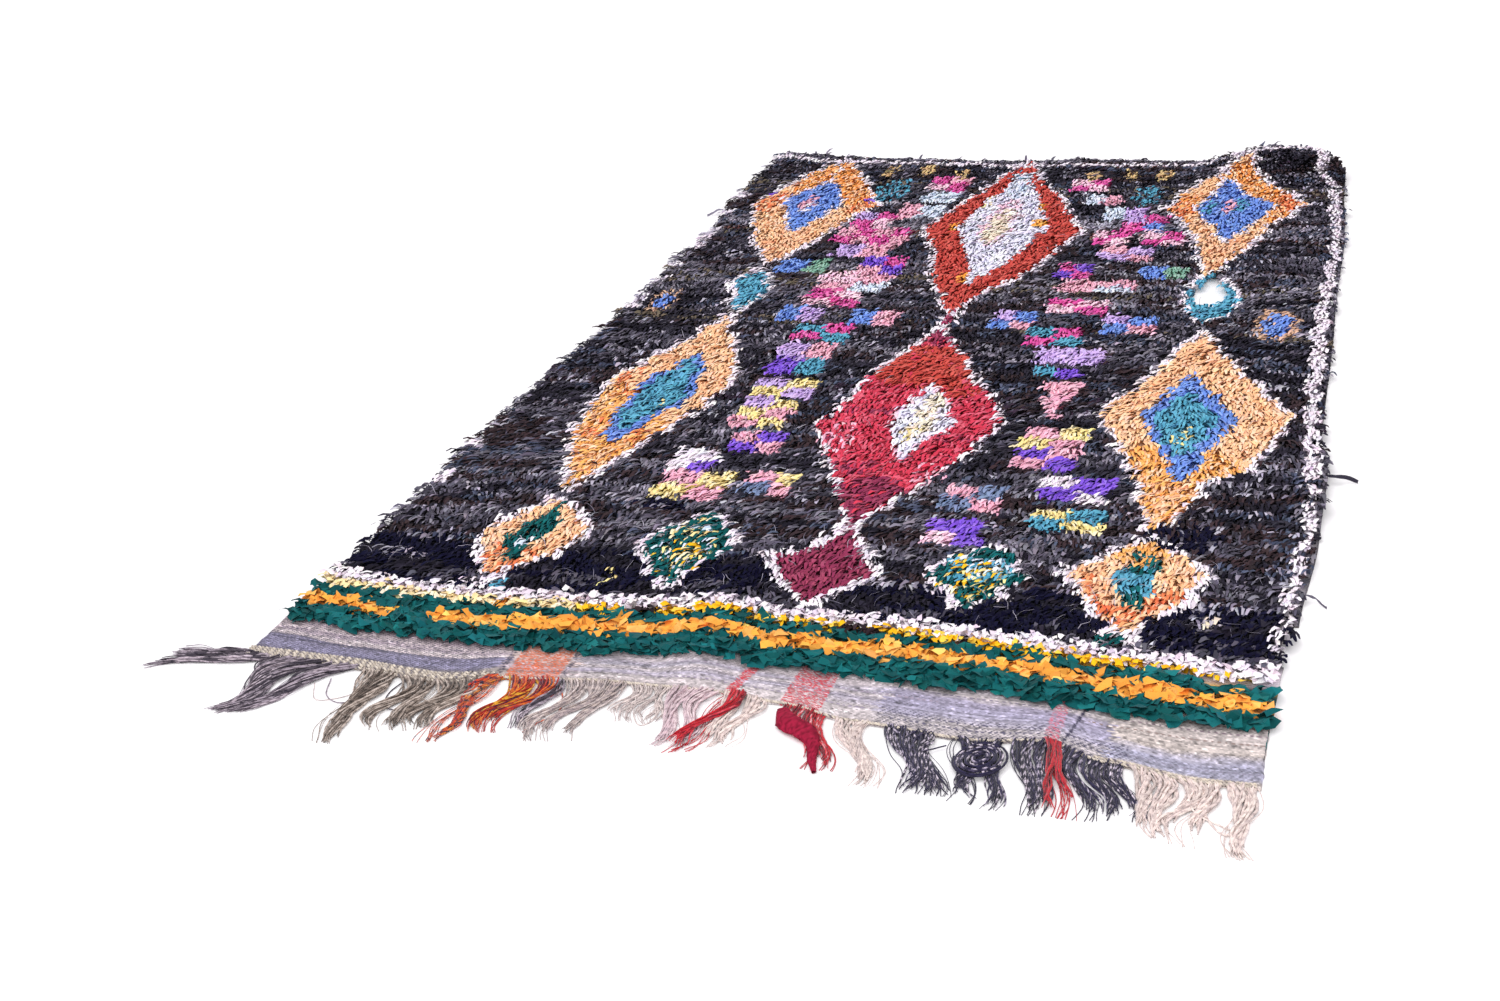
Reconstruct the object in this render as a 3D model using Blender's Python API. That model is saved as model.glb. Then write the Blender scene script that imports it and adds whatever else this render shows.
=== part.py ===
"""Boucherouite rug lying on a floor: a hand-knotted rag pile rug with a flat-woven end and a warp fringe.

Metres, +Z up. The tables below are in the cloth's own layout: x runs across the rug from its middle, and y
runs along it from the line where the pile starts. The finished rug is then moved so that the origin is at
the middle of its outer box, on the floor. The fringe points to -Y, and the far end to +Y.
"""

import math
import random

import bmesh
import bpy
from mathutils import Vector, noise

# Driving sizes of the cloth
PILE_LENGTH = 2.53  # from the start of the pile to the far end
PILE_THICK = 0.020  # mean height of the pile's crown
PILE_RIM_THICK = 0.011  # height at the rim, where the pile leans outwards
PILE_FRONT_THICK = 0.013  # height of the first row above the flat weave
PILE_FRONT_DEPTH = 0.006
LUMP = 0.006  # how far the crown goes up and down
LUMP_SIZE = 0.11
LUMP_SLICE = 0.3  # the slice of the noise that the wide lumps are read from
FINE_SLICE = 7.1
FINE_ACROSS = 2.7  # the fine lumps, so many times smaller than the wide ones
FINE_ALONG = 3.1
FINE_SHARE = 0.6
WEAVE_THICK = 0.004  # the flat-woven end
WEAVE_ROWS = (0.0, 0.35, 0.7, 1.0)  # rows of the mesh there, as shares of its length
WEAVE_MIDDLE = -0.06  # the flat weave's place along the rug, where its sides are read
SKIRT = 0.028  # how far in from the rim the crown is reached
STEP_LONG = 0.048  # rows of the mesh along the rug
STEP_WIDE = 0.049

# Edges of the cloth as it lies: a row for each place along the rug
SIDE_EDGES = (
    # along, left x, right x
    (-0.15, -0.757, 0.727),
    (0.00, -0.752, 0.733),
    (0.15, -0.752, 0.738),
    (0.30, -0.748, 0.753),
    (0.55, -0.750, 0.766),
    (0.75, -0.745, 0.768),
    (0.95, -0.742, 0.749),
    (1.30, -0.728, 0.748),
    (1.65, -0.724, 0.743),
    (1.90, -0.722, 0.744),
    (2.05, -0.738, 0.740),
    (2.30, -0.745, 0.728),
    (2.53, -0.742, 0.722),
)
# Ends of the cloth: a row for each place across the rug
END_LINES = (
    # across x, edge of the flat weave y, start of the pile y, far end y
    (-0.76, -0.117, 0.004, 2.528),
    (-0.60, -0.119, -0.012, 2.534),
    (-0.42, -0.131, -0.012, 2.526),
    (-0.33, -0.101, -0.006, 2.520),
    (-0.16, -0.080, 0.008, 2.514),
    (0.00, -0.076, 0.014, 2.528),
    (0.08, -0.086, 0.015, 2.540),
    (0.19, -0.109, 0.014, 2.536),
    (0.36, -0.122, 0.008, 2.542),
    (0.45, -0.106, 0.000, 2.548),
    (0.54, -0.137, -0.007, 2.550),
    (0.65, -0.156, -0.010, 2.545),
    (0.77, -0.152, -0.006, 2.540),
)
CORNER_ROUND = 0.125  # the far right corner is drawn in to this radius

# Where the cloth leaves the floor: a row for each fold
FOLDS = (
    # name, from x, from y, to x, to y, half-width, height
    ("lengthwise crease", -0.058, 0.010, -0.075, 0.300, 0.085, 0.016),
    ("curled far corner", 0.560, 2.560, 0.640, 2.530, 0.200, 0.040),
    ("far left lump", -0.700, 2.540, -0.690, 2.500, 0.090, 0.010),
    ("right edge ripple", 0.790, 0.640, 0.790, 0.740, 0.110, 0.012),
)

# The worn hole in the small teal lozenge
HOLE_CENTRE = (0.490, 1.590)
HOLE_HALF_WIDE = 0.030
HOLE_HALF_LONG = 0.080
HOLE_SIDES = 12
HOLE_FLOOR = -0.02  # the cutter runs from below the floor to above the pile
HOLE_TOP = 0.06
HOLE_LOBES = 3
LOBE_SIZE = 0.14
LOBE_TURN = 1.4

# Locks of pile at the rim
LOCK_REACH = (0.009, 0.019)  # shortest and longest
LOCK_SLANT = 0.014  # how far a tip may sit to one side of its root
LOCK_TIP = 0.35  # the tip's size against its root
LOCK_ROOT = ((0.2, 0.12), (0.8, 0.12), (0.72, 0.9), (0.28, 0.9))  # its corners across and up its wall
LOCK_WALL = STEP_LONG * 0.55  # a shorter wall has no lock
LOOSE_LOCKS = (
    # side, along y, reach of a rag end that hangs out further
    ("right", 0.735, 0.048),
    ("right", 0.335, 0.026),
    ("left", 2.035, 0.034),
)

# Fringe
ROOT_GAP = 0.00035  # between the flat weave and the strip
ROOT_DEPTH = 0.007
ROOT_THICK = 0.0045
STRAND_TIP_THICK = 0.0028
STRAND_TIP_SIZE = 0.55  # the tip's width against the root's
STRAND_CROWN = 0.62  # the width of a strand's top against its base
STRAND_STEPS = 5
SHORT_SIDES = 0.32  # how much shorter a group's outer strands are
SHORT_CURVE = 1.5
LATE_BEND = 0.35  # how much of a strand's turn towards its tip comes late
WANDER = 0.0008  # how far a strand strays from its group's line
FRINGE_GROUPS = (
    # name, strands, strand width, roots from x, to x, tips from x, from y, to x, to y, bow sideways
    ("long left twist", 2, 0.0080, -0.748, -0.708, -0.872, -0.118, -0.898, -0.202, 0.004),
    ("grey and mauve twist", 10, 0.0070, -0.690, -0.558, -0.716, -0.268, -0.632, -0.262, -0.012),
    ("taupe twist", 8, 0.0062, -0.546, -0.456, -0.506, -0.302, -0.454, -0.296, 0.010),
    ("taupe fan", 7, 0.0060, -0.444, -0.366, -0.432, -0.250, -0.364, -0.246, 0.008),
    ("thin orange twist", 2, 0.0062, -0.352, -0.330, -0.364, -0.268, -0.350, -0.256, 0.008),
    ("red and orange twist", 6, 0.0060, -0.318, -0.252, -0.314, -0.236, -0.266, -0.228, 0.010),
    ("beige strands", 8, 0.0064, -0.242, -0.150, -0.246, -0.238, -0.172, -0.226, 0.008),
    ("short ecru tufts", 5, 0.0060, -0.138, -0.082, -0.136, -0.168, -0.076, -0.166, 0.006),
    ("pale pink strands", 6, 0.0060, -0.072, -0.008, -0.060, -0.214, -0.012, -0.212, -0.006),
    ("cream strands", 5, 0.0060, 0.004, 0.058, 0.008, -0.202, 0.050, -0.196, -0.006),
    ("red felted tuft", 2, 0.0140, 0.096, 0.150, 0.158, -0.224, 0.190, -0.220, -0.006),
    ("cream tuft", 4, 0.0060, 0.172, 0.214, 0.234, -0.246, 0.262, -0.240, -0.008),
    ("navy fan", 7, 0.0060, 0.236, 0.312, 0.288, -0.254, 0.356, -0.242, -0.010),
    ("navy curl", 6, 0.0060, 0.328, 0.398, 0.374, -0.252, 0.424, -0.258, -0.008),
    ("navy and white groups", 13, 0.0060, 0.412, 0.558, 0.464, -0.260, 0.584, -0.238, -0.006),
    ("cream cords", 10, 0.0060, 0.570, 0.678, 0.596, -0.268, 0.668, -0.284, 0.008),
    ("long cream bundle", 3, 0.0060, 0.690, 0.722, 0.704, -0.292, 0.728, -0.296, 0.010),
)

SEED = 11


def blend(table, key, column):
    """Reads one column of a table at a place between its rows, along a smooth curve."""
    rows = [(row[0], row[column]) for row in table]
    if key <= rows[0][0]:
        return rows[0][1]
    for (low, a), (high, b) in zip(rows, rows[1:]):
        if key <= high:
            t = (key - low) / (high - low)
            return a + (b - a) * t * t * (3 - 2 * t)
    return rows[-1][1]


def weave_edge(x):
    return blend(END_LINES, x, 1)


def pile_start(x):
    return blend(END_LINES, x, 2)


def far_end(x):
    return blend(END_LINES, x, 3)


def on_line(points, x):
    """The y of a line of straight stretches at a place between its points."""
    for (x0, y0), (x1, y1) in zip(points, points[1:]):
        if x <= x1:
            return y0 + (y1 - y0) * (x - x0) / (x1 - x0)
    return points[-1][1]


def lift(x, y):
    """How far the folds raise the cloth off the floor at (x, y)."""
    height = 0.0
    for _name, x0, y0, x1, y1, half_width, top in FOLDS:
        start, end, here = Vector((x0, y0)), Vector((x1, y1)), Vector((x, y))
        run = end - start
        t = max(0.0, min(1.0, (here - start).dot(run) / run.length_squared))
        away = (here - start - run * t).length / half_width
        if away < 1:
            height += top * (1 - away * away) ** 2
    return height


def lumps(x, y):
    """The crown of the pile, up and down about its mean."""
    across, along = x / LUMP_SIZE, y / LUMP_SIZE
    wide = noise.noise(Vector((across, along, LUMP_SLICE)))
    fine = noise.noise(Vector((across * FINE_ACROSS, along * FINE_ALONG, FINE_SLICE)))
    return LUMP * (wide + FINE_SHARE * fine)


def round_corner(x, y):
    """Draws the far right corner in to a quarter circle."""
    middle_x = blend(SIDE_EDGES, y, 2) - CORNER_ROUND
    middle_y = far_end(x) - CORNER_ROUND
    if x <= middle_x or y <= middle_y:
        return x, y
    across, along = (x - middle_x) / CORNER_ROUND, (y - middle_y) / CORNER_ROUND
    return (
        middle_x + CORNER_ROUND * across * math.sqrt(1 - along * along / 2),
        middle_y + CORNER_ROUND * along * math.sqrt(1 - across * across / 2),
    )


def even_steps(low, high, step):
    count = max(1, round((high - low) / step))
    return [low + (high - low) * i / count for i in range(count + 1)]


def column_shares():
    """Places across the rug, 0 at the left edge and 1 at the right, closer together at the rim."""
    width = SIDE_EDGES[1][2] - SIDE_EDGES[1][1]
    skirt = SKIRT / width
    return [0.0] + even_steps(skirt, 1 - skirt, STEP_WIDE / width) + [1.0]


def cloth_rows():
    """Rows along the rug, from the fringe to the far end: (zone, share of the zone)."""
    weave = [("weave", share) for share in WEAVE_ROWS]
    front = [("pile", PILE_FRONT_DEPTH / PILE_LENGTH)]
    skirt = SKIRT / PILE_LENGTH
    crown = [("pile", share) for share in even_steps(skirt, 1 - skirt, STEP_LONG / PILE_LENGTH)]
    return weave + front + crown + [("pile", 1.0)]


def cloth_point(zone, along, across):
    """Where a place on the cloth lies, and how thick the cloth is there."""
    rough_y = WEAVE_MIDDLE if zone == "weave" else PILE_LENGTH * along
    left, right = blend(SIDE_EDGES, rough_y, 1), blend(SIDE_EDGES, rough_y, 2)
    x = left + (right - left) * across
    if zone == "weave":
        y = weave_edge(x) + (pile_start(x) - weave_edge(x)) * along
        return x, y, WEAVE_THICK
    y = pile_start(x) + (far_end(x) - pile_start(x)) * along
    x, y = round_corner(x, y)
    if across in (0.0, 1.0) or along == 1.0:
        return x, y, PILE_RIM_THICK
    if along * PILE_LENGTH < SKIRT / 2:
        return x, y, PILE_FRONT_THICK
    return x, y, PILE_THICK + lumps(x, y)


def add_lock(bm, wall, outward, reach, slant):
    """Replaces one wall of the rim, given as its four corners from the low left, with a lock of pile."""
    low_a, low_b, high_b, high_a = [corner.co for corner in wall]

    def on_wall(across, up):
        low, high = low_a.lerp(low_b, across), high_a.lerp(high_b, across)
        return low.lerp(high, up)

    root = [bm.verts.new(on_wall(*place)) for place in LOCK_ROOT]
    middle = sum((corner.co for corner in root), Vector()) / 4
    along = (low_b - low_a).normalized()
    end = middle + outward * reach + along * slant
    tip = [bm.verts.new(end + (corner.co - middle) * LOCK_TIP) for corner in root]
    for i in range(4):
        j = (i + 1) % 4
        bm.faces.new((wall[i], wall[j], root[j], root[i]))
        bm.faces.new((root[i], root[j], tip[j], tip[i]))
    bm.faces.new(tip)


def loose_reach(side, y):
    """The reach of a rag end that hangs out at this place of the rim, if one does."""
    for where, along, reach in LOOSE_LOCKS:
        if where == side and abs(y - along) < STEP_LONG / 2:
            return reach
    return None


def add_rim(bm, top, bottom, rows, chance):
    """Closes the slab between its top and bottom sheets. The pile's rim has a lock on each wall."""
    last_row, last_column = len(top) - 1, len(top[0]) - 1
    near = [(0, j) for j in range(last_column + 1)]
    right = [(i, last_column) for i in range(last_row + 1)]
    far = [(last_row, j) for j in range(last_column, -1, -1)]
    left = [(i, 0) for i in range(last_row, -1, -1)]
    for side, places in (("near", near), ("right", right), ("far", far), ("left", left)):
        for (i, j), (k, l) in zip(places, places[1:]):
            wall = (bottom[i][j], bottom[k][l], top[k][l], top[i][j])
            length = (wall[1].co - wall[0].co).length
            in_pile = rows[min(i, k)][0] == "pile"
            if side == "near" or not in_pile or length < LOCK_WALL:
                bm.faces.new(wall)
                continue
            run = wall[1].co - wall[0].co
            outward = Vector((run.y, -run.x, 0)).normalized()
            reach = loose_reach(side, wall[0].co.y) or chance.uniform(*LOCK_REACH)
            add_lock(bm, wall, outward, reach, chance.uniform(-LOCK_SLANT, LOCK_SLANT))


def rug_mesh():
    """The lumpy slab of pile and the thin flat-woven end, as one closed sheet."""
    chance = random.Random(SEED)
    rows, columns = cloth_rows(), column_shares()
    bm = bmesh.new()
    top, bottom = [], []
    for zone, along in rows:
        top.append([])
        bottom.append([])
        for across in columns:
            x, y, thick = cloth_point(zone, along, across)
            raised = lift(x, y)
            top[-1].append(bm.verts.new((x, y, raised + thick)))
            bottom[-1].append(bm.verts.new((x, y, raised)))
    for i in range(len(rows) - 1):
        for j in range(len(columns) - 1):
            bm.faces.new((top[i][j], top[i][j + 1], top[i + 1][j + 1], top[i + 1][j]))
            bm.faces.new((bottom[i][j], bottom[i + 1][j], bottom[i + 1][j + 1], bottom[i][j + 1]))
    add_rim(bm, top, bottom, rows, chance)
    mesh = bpy.data.meshes.new("rug_body")
    bm.to_mesh(mesh)
    bm.free()
    return mesh


def hole_cutter():
    """The worn hole's outline, taller than the pile: three soft lobes on an upright lozenge."""
    bm = bmesh.new()
    rings = []
    for z in (HOLE_FLOOR, HOLE_TOP):
        ring = []
        for i in range(HOLE_SIDES):
            turn = 2 * math.pi * i / HOLE_SIDES
            lobes = 1 + LOBE_SIZE * math.cos(HOLE_LOBES * turn + LOBE_TURN)
            x = HOLE_CENTRE[0] + HOLE_HALF_WIDE * lobes * math.cos(turn)
            y = HOLE_CENTRE[1] + HOLE_HALF_LONG * lobes * math.sin(turn)
            ring.append(bm.verts.new((x, y, z)))
        rings.append(ring)
    for i in range(HOLE_SIDES):
        j = (i + 1) % HOLE_SIDES
        bm.faces.new((rings[0][i], rings[0][j], rings[1][j], rings[1][i]))
    bm.faces.new(list(reversed(rings[0])))
    bm.faces.new(rings[1])
    mesh = bpy.data.meshes.new("hole_cutter")
    bm.to_mesh(mesh)
    bm.free()
    return mesh


def strand_places():
    """Every strand of the fringe: root from x, root to x, tip, bow and share of its group's length."""
    strands = []
    for _name, count, width, root_a, root_b, tip_ax, tip_ay, tip_bx, tip_by, bow in FRINGE_GROUPS:
        half = width / 2
        for i in range(count):
            share = (i + 0.5) / count
            middle = root_a + (root_b - root_a) * share
            tip = (tip_ax + (tip_bx - tip_ax) * share, tip_ay + (tip_by - tip_ay) * share)
            length = 1 - SHORT_SIDES * abs(2 * share - 1) ** SHORT_CURVE
            strands.append((middle - half, middle + half, tip, bow, length))
    return strands


def strand_line(start, tip, bow, length, stray):
    """The middle line of a strand on the floor. It leaves straight out of the weave and bends to its tip."""
    run = Vector((tip[0] - start.x, tip[1] - start.y))
    sideways = Vector((-run.y, run.x)).normalized()
    line = []
    for step in range(STRAND_STEPS + 1):
        t = step / STRAND_STEPS * length
        turned = t * t * (3 - 2 * t) * LATE_BEND + t * (1 - LATE_BEND)
        point = Vector((start.x + run.x * turned, start.y + run.y * t))
        line.append(point + sideways * (bow + stray) * math.sin(2 * math.pi * t))
    return line


def add_strand(bm, root, tip, bow, length, stray):
    """Runs a strand of four sides from a wall of the strip: low left, low right, high right, high left."""
    start = ((root[0].co + root[1].co) / 2).xy
    root_half = (root[1].co - root[0].co).length / 2
    line = strand_line(start, tip, bow, length, stray)
    ring = list(root)
    for step in range(1, STRAND_STEPS + 1):
        ahead = line[min(step + 1, STRAND_STEPS)] - line[step - 1]
        across = Vector((-ahead.y, ahead.x)).normalized()
        t = step / STRAND_STEPS * length
        half = root_half * (1 + (STRAND_TIP_SIZE - 1) * t)
        thick = ROOT_THICK + (STRAND_TIP_THICK - ROOT_THICK) * t
        corners = ((-half, 0), (half, 0), (half * STRAND_CROWN, thick), (-half * STRAND_CROWN, thick))
        following = [bm.verts.new((*(line[step] + across * out), up)) for out, up in corners]
        for i in range(4):
            j = (i + 1) % 4
            bm.faces.new((ring[i], ring[j], following[j], following[i]))
        ring = following
    bm.faces.new(ring)


def fringe_mesh():
    """The narrow strip beside the weave's edge, with a strand on each stretch of its outer side."""
    strands, chance = strand_places(), random.Random(SEED)
    edge = [cloth_point("weave", 0.0, across)[:2] for across in column_shares()]
    stations = sorted({place for strand in strands for place in strand[:2]})
    bends = [x for x, _y in edge if stations[0] < x < stations[-1]]
    bm = bmesh.new()

    def pair(x, depth):
        """The strip's low and high corner at a place on its inner or outer line."""
        y = on_line(edge, x) - ROOT_GAP - depth
        return bm.verts.new((x, y, 0)), bm.verts.new((x, y, ROOT_THICK))

    inner = {x: pair(x, 0) for x in sorted(stations + bends)}
    outer = {x: pair(x, ROOT_DEPTH) for x in stations}
    for x in (stations[0], stations[-1]):
        end = [inner[x][0], outer[x][0], outer[x][1], inner[x][1]]
        bm.faces.new(end if x == stations[0] else end[::-1])
    along = list(inner)
    for a, b in zip(along, along[1:]):
        bm.faces.new((inner[b][0], inner[a][0], inner[a][1], inner[b][1]))
    strand_at = {strand[0]: strand[2:] for strand in strands}
    for a, b in zip(stations, stations[1:]):
        between = [x for x in along if a <= x <= b]
        bm.faces.new([outer[a][1], outer[b][1]] + [inner[x][1] for x in reversed(between)])
        bm.faces.new([outer[b][0], outer[a][0]] + [inner[x][0] for x in between])
        root = (outer[a][0], outer[b][0], outer[b][1], outer[a][1])
        if a in strand_at:
            add_strand(bm, root, *strand_at[a], chance.uniform(-WANDER, WANDER))
        else:
            bm.faces.new(root)
    mesh = bpy.data.meshes.new("fringe")
    bm.to_mesh(mesh)
    bm.free()
    return mesh


def material(name, colour, roughness):
    made = bpy.data.materials.new(name)
    made.use_nodes = True
    shader = made.node_tree.nodes["Principled BSDF"]
    shader.inputs["Base Color"].default_value = (*colour, 1)
    shader.inputs["Roughness"].default_value = roughness
    shader.inputs["Metallic"].default_value = 0.0
    return made


def place(name, mesh, finish):
    obj = bpy.data.objects.new(name, mesh)
    mesh.materials.append(finish)
    bpy.context.scene.collection.objects.link(obj)
    return obj


def outer_box(meshes):
    points = [vertex.co for mesh in meshes for vertex in mesh.vertices]
    low = Vector([min(point[axis] for point in points) for axis in range(3)])
    high = Vector([max(point[axis] for point in points) for axis in range(3)])
    return low, high


def main():
    for obj in list(bpy.data.objects):
        bpy.data.objects.remove(obj, do_unlink=True)
    rug, fringe, hole = rug_mesh(), fringe_mesh(), hole_cutter()
    low, high = outer_box((rug, fringe))
    centre = Vector(((low.x + high.x) / 2, (low.y + high.y) / 2, 0))
    body = place("rug_body", rug, material("dark rag pile", (0.035, 0.035, 0.05), 0.95))
    ends = place("fringe", fringe, material("undyed warp", (0.55, 0.47, 0.42), 0.9))
    cutter = place("hole_cutter", hole, material("guide", (1, 0, 0), 1.0))
    for obj in (body, ends, cutter):
        obj.location = -centre
    cutter.hide_render = True
    cutter.display_type = "WIRE"
    worn = body.modifiers.new("worn hole", "BOOLEAN")
    worn.operation = "DIFFERENCE"
    worn.object = cutter


main()
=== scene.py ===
# %% [markdown]
# This lesson dresses a hand-knotted rag rug. The real one is woven on an upright loom: a flat-woven end,
# then row after row of knotted rag strips, which stand as a shaggy pile, with the warp left as a fringe.
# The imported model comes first, because every piece below has to lie in the space that its solids hold.

import math

import bpy
import numpy as np
from mathutils import Matrix, Vector


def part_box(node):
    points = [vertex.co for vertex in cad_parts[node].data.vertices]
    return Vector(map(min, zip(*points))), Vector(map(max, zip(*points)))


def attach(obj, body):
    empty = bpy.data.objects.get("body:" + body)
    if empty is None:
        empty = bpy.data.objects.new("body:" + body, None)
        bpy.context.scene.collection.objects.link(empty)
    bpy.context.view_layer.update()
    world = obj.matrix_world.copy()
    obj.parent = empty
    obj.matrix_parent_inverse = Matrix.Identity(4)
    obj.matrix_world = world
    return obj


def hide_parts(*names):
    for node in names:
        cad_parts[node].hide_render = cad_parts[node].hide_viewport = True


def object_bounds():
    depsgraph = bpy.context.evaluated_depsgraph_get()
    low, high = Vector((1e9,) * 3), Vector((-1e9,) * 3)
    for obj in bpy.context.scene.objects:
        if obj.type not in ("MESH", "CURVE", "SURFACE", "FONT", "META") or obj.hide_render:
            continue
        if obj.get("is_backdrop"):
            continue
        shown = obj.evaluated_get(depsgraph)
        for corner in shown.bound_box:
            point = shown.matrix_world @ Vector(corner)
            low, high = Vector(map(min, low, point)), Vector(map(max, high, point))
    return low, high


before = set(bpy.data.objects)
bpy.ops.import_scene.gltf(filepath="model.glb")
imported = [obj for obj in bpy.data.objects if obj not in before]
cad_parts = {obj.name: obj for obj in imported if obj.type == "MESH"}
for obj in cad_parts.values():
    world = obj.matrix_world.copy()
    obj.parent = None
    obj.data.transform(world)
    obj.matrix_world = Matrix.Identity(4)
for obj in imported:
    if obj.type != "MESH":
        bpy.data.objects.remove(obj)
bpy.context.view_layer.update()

# %% [markdown]
# All places on the rug are written in its own measures, as a weaver would: x across from the middle, and y
# up the rug from the line where the pile starts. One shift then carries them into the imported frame. Long
# lists are kept as text tables, because rows of plain words are easier to read and change than brackets.

# %% The rug's own measures, in metres
TO_FRAME = np.array((0.0317, -1.1340, 0.0))
SEED = 23

PILE_LENGTH = 2.53
CORNER_ROUND = 0.125
WEAVE_THICK = 0.004


def number(word):
    """A word of a table as a number, or as it stands where it names something."""
    return float(word) if word.lstrip("-")[0].isdigit() else word


def table(text):
    """Rows of values from a text, in which a semicolon ends each row."""
    return [tuple(number(word) for word in row.split()) for row in text.split(";")]


# along y, left x, right x
SIDE_EDGES = table(
    """
    -0.15 -0.757 0.727;
    0.0 -0.752 0.733;
    0.15 -0.752 0.738;
    0.3 -0.748 0.753;
    0.55 -0.75 0.766;
    0.75 -0.745 0.768;
    0.95 -0.742 0.749;
    1.3 -0.728 0.748;
    1.65 -0.724 0.743;
    1.9 -0.722 0.744;
    2.05 -0.738 0.74;
    2.3 -0.745 0.728;
    2.53 -0.742 0.722
    """
)
# across x, edge of the flat weave y, start of the pile y, far end y
END_LINES = table(
    """
    -0.76 -0.117 0.004 2.528;
    -0.6 -0.119 -0.012 2.534;
    -0.42 -0.131 -0.012 2.526;
    -0.33 -0.101 -0.006 2.52;
    -0.16 -0.08 0.008 2.514;
    0.0 -0.076 0.014 2.528;
    0.08 -0.086 0.015 2.54;
    0.19 -0.109 0.014 2.536;
    0.36 -0.122 0.008 2.542;
    0.45 -0.106 0.0 2.548;
    0.54 -0.137 -0.007 2.55;
    0.65 -0.156 -0.01 2.545;
    0.77 -0.152 -0.006 2.54
    """
)
# from x, from y, to x, to y, half-width, height: crease, curled corner, far lump, edge ripple
FOLDS = table(
    """
    -0.058 0.01 -0.075 0.3 0.085 0.016;
    0.56 2.56 0.64 2.53 0.2 0.04;
    -0.7 2.54 -0.69 2.5 0.09 0.01;
    0.79 0.64 0.79 0.74 0.11 0.012
    """
)
HOLE_CENTRE = (0.490, 1.590)
HOLE_HALF = (0.030, 0.080)


def read(rows, key, index):
    """One column of a table, along a smooth curve between its rows."""
    at = np.array([row[0] for row in rows])
    value = np.array([row[index] for row in rows])
    key = np.clip(key, at[0], at[-1])
    low = np.clip(np.searchsorted(at, key) - 1, 0, len(at) - 2)
    t = (key - at[low]) / (at[low + 1] - at[low])
    return value[low] + (value[low + 1] - value[low]) * t * t * (3 - 2 * t)


def weave_edge(x):
    return read(END_LINES, x, 1)


def pile_start(x):
    return read(END_LINES, x, 2)


def far_end(x):
    return read(END_LINES, x, 3)


def left_edge(y):
    return read(SIDE_EDGES, y, 1)


def right_edge(y):
    return read(SIDE_EDGES, y, 2)


def lift(x, y):
    """How far the folds raise the cloth off the floor."""
    x, y = np.broadcast_arrays(np.asarray(x, float), np.asarray(y, float))
    height = np.zeros(x.shape)
    for x0, y0, x1, y1, half, top in FOLDS:
        run = np.array((x1 - x0, y1 - y0))
        t = np.clip(((x - x0) * run[0] + (y - y0) * run[1]) / (run @ run), 0, 1)
        away = np.hypot(x - x0 - run[0] * t, y - y0 - run[1] * t) / half
        height += np.where(away < 1, top * (1 - away * away) ** 2, 0)
    return height


_body_low, body_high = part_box("rug_body")
widest = max(row[2] for row in SIDE_EDGES)
print("right rim of the cloth", round(widest + TO_FRAME[0], 3), "packed", round(body_high.x, 3))

# %% [markdown]
# The camera comes early. It stands low at the near right, with a slight roll, and its lens gives the
# picture's own field of view.

# %% Camera
FOCAL_PIXELS = 1847.1
PICTURE_WIDE = 1500
SENSOR = 36.0
CAMERA_AT = Vector((0.826, -2.112, 1.373))
HEADING, PITCH, ROLL = (math.radians(angle) for angle in (-20.57, 26.06, -4.89))

forward = Vector(
    (
        math.sin(HEADING) * math.cos(PITCH),
        math.cos(HEADING) * math.cos(PITCH),
        -math.sin(PITCH),
    )
)
level_right = Vector((math.cos(HEADING), -math.sin(HEADING), 0))
level_up = level_right.cross(forward)
right = math.cos(ROLL) * level_right + math.sin(ROLL) * level_up
up = -math.sin(ROLL) * level_right + math.cos(ROLL) * level_up

lens = bpy.data.cameras.new("camera")
lens.sensor_fit = "HORIZONTAL"
lens.sensor_width = SENSOR
lens.lens = FOCAL_PIXELS / PICTURE_WIDE * SENSOR
lens.clip_start, lens.clip_end = 0.05, 100
camera = bpy.data.objects.new("camera", lens)
turn = Matrix((right, up, -forward)).transposed().to_4x4()
camera.matrix_world = Matrix.Translation(CAMERA_AT + Vector(TO_FRAME)) @ turn
bpy.context.scene.collection.objects.link(camera)
bpy.context.scene.camera = camera
print("lens", round(lens.lens, 2), "mm")

# %% [markdown]
# Rags, yarns and weave all repeat thousands of times, so their meshes are written from arrays of points
# instead of being modelled one by one. A strip is a small grid of points: a rag end is two points wide, and
# a yarn is a strip whose sides meet. Each strip has its own cell of a map, so its finish can be baked.

# %% A mesh of many strips
BAKE_MAP = "OFBake"
CELL_MARGIN = 0.12


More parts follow.
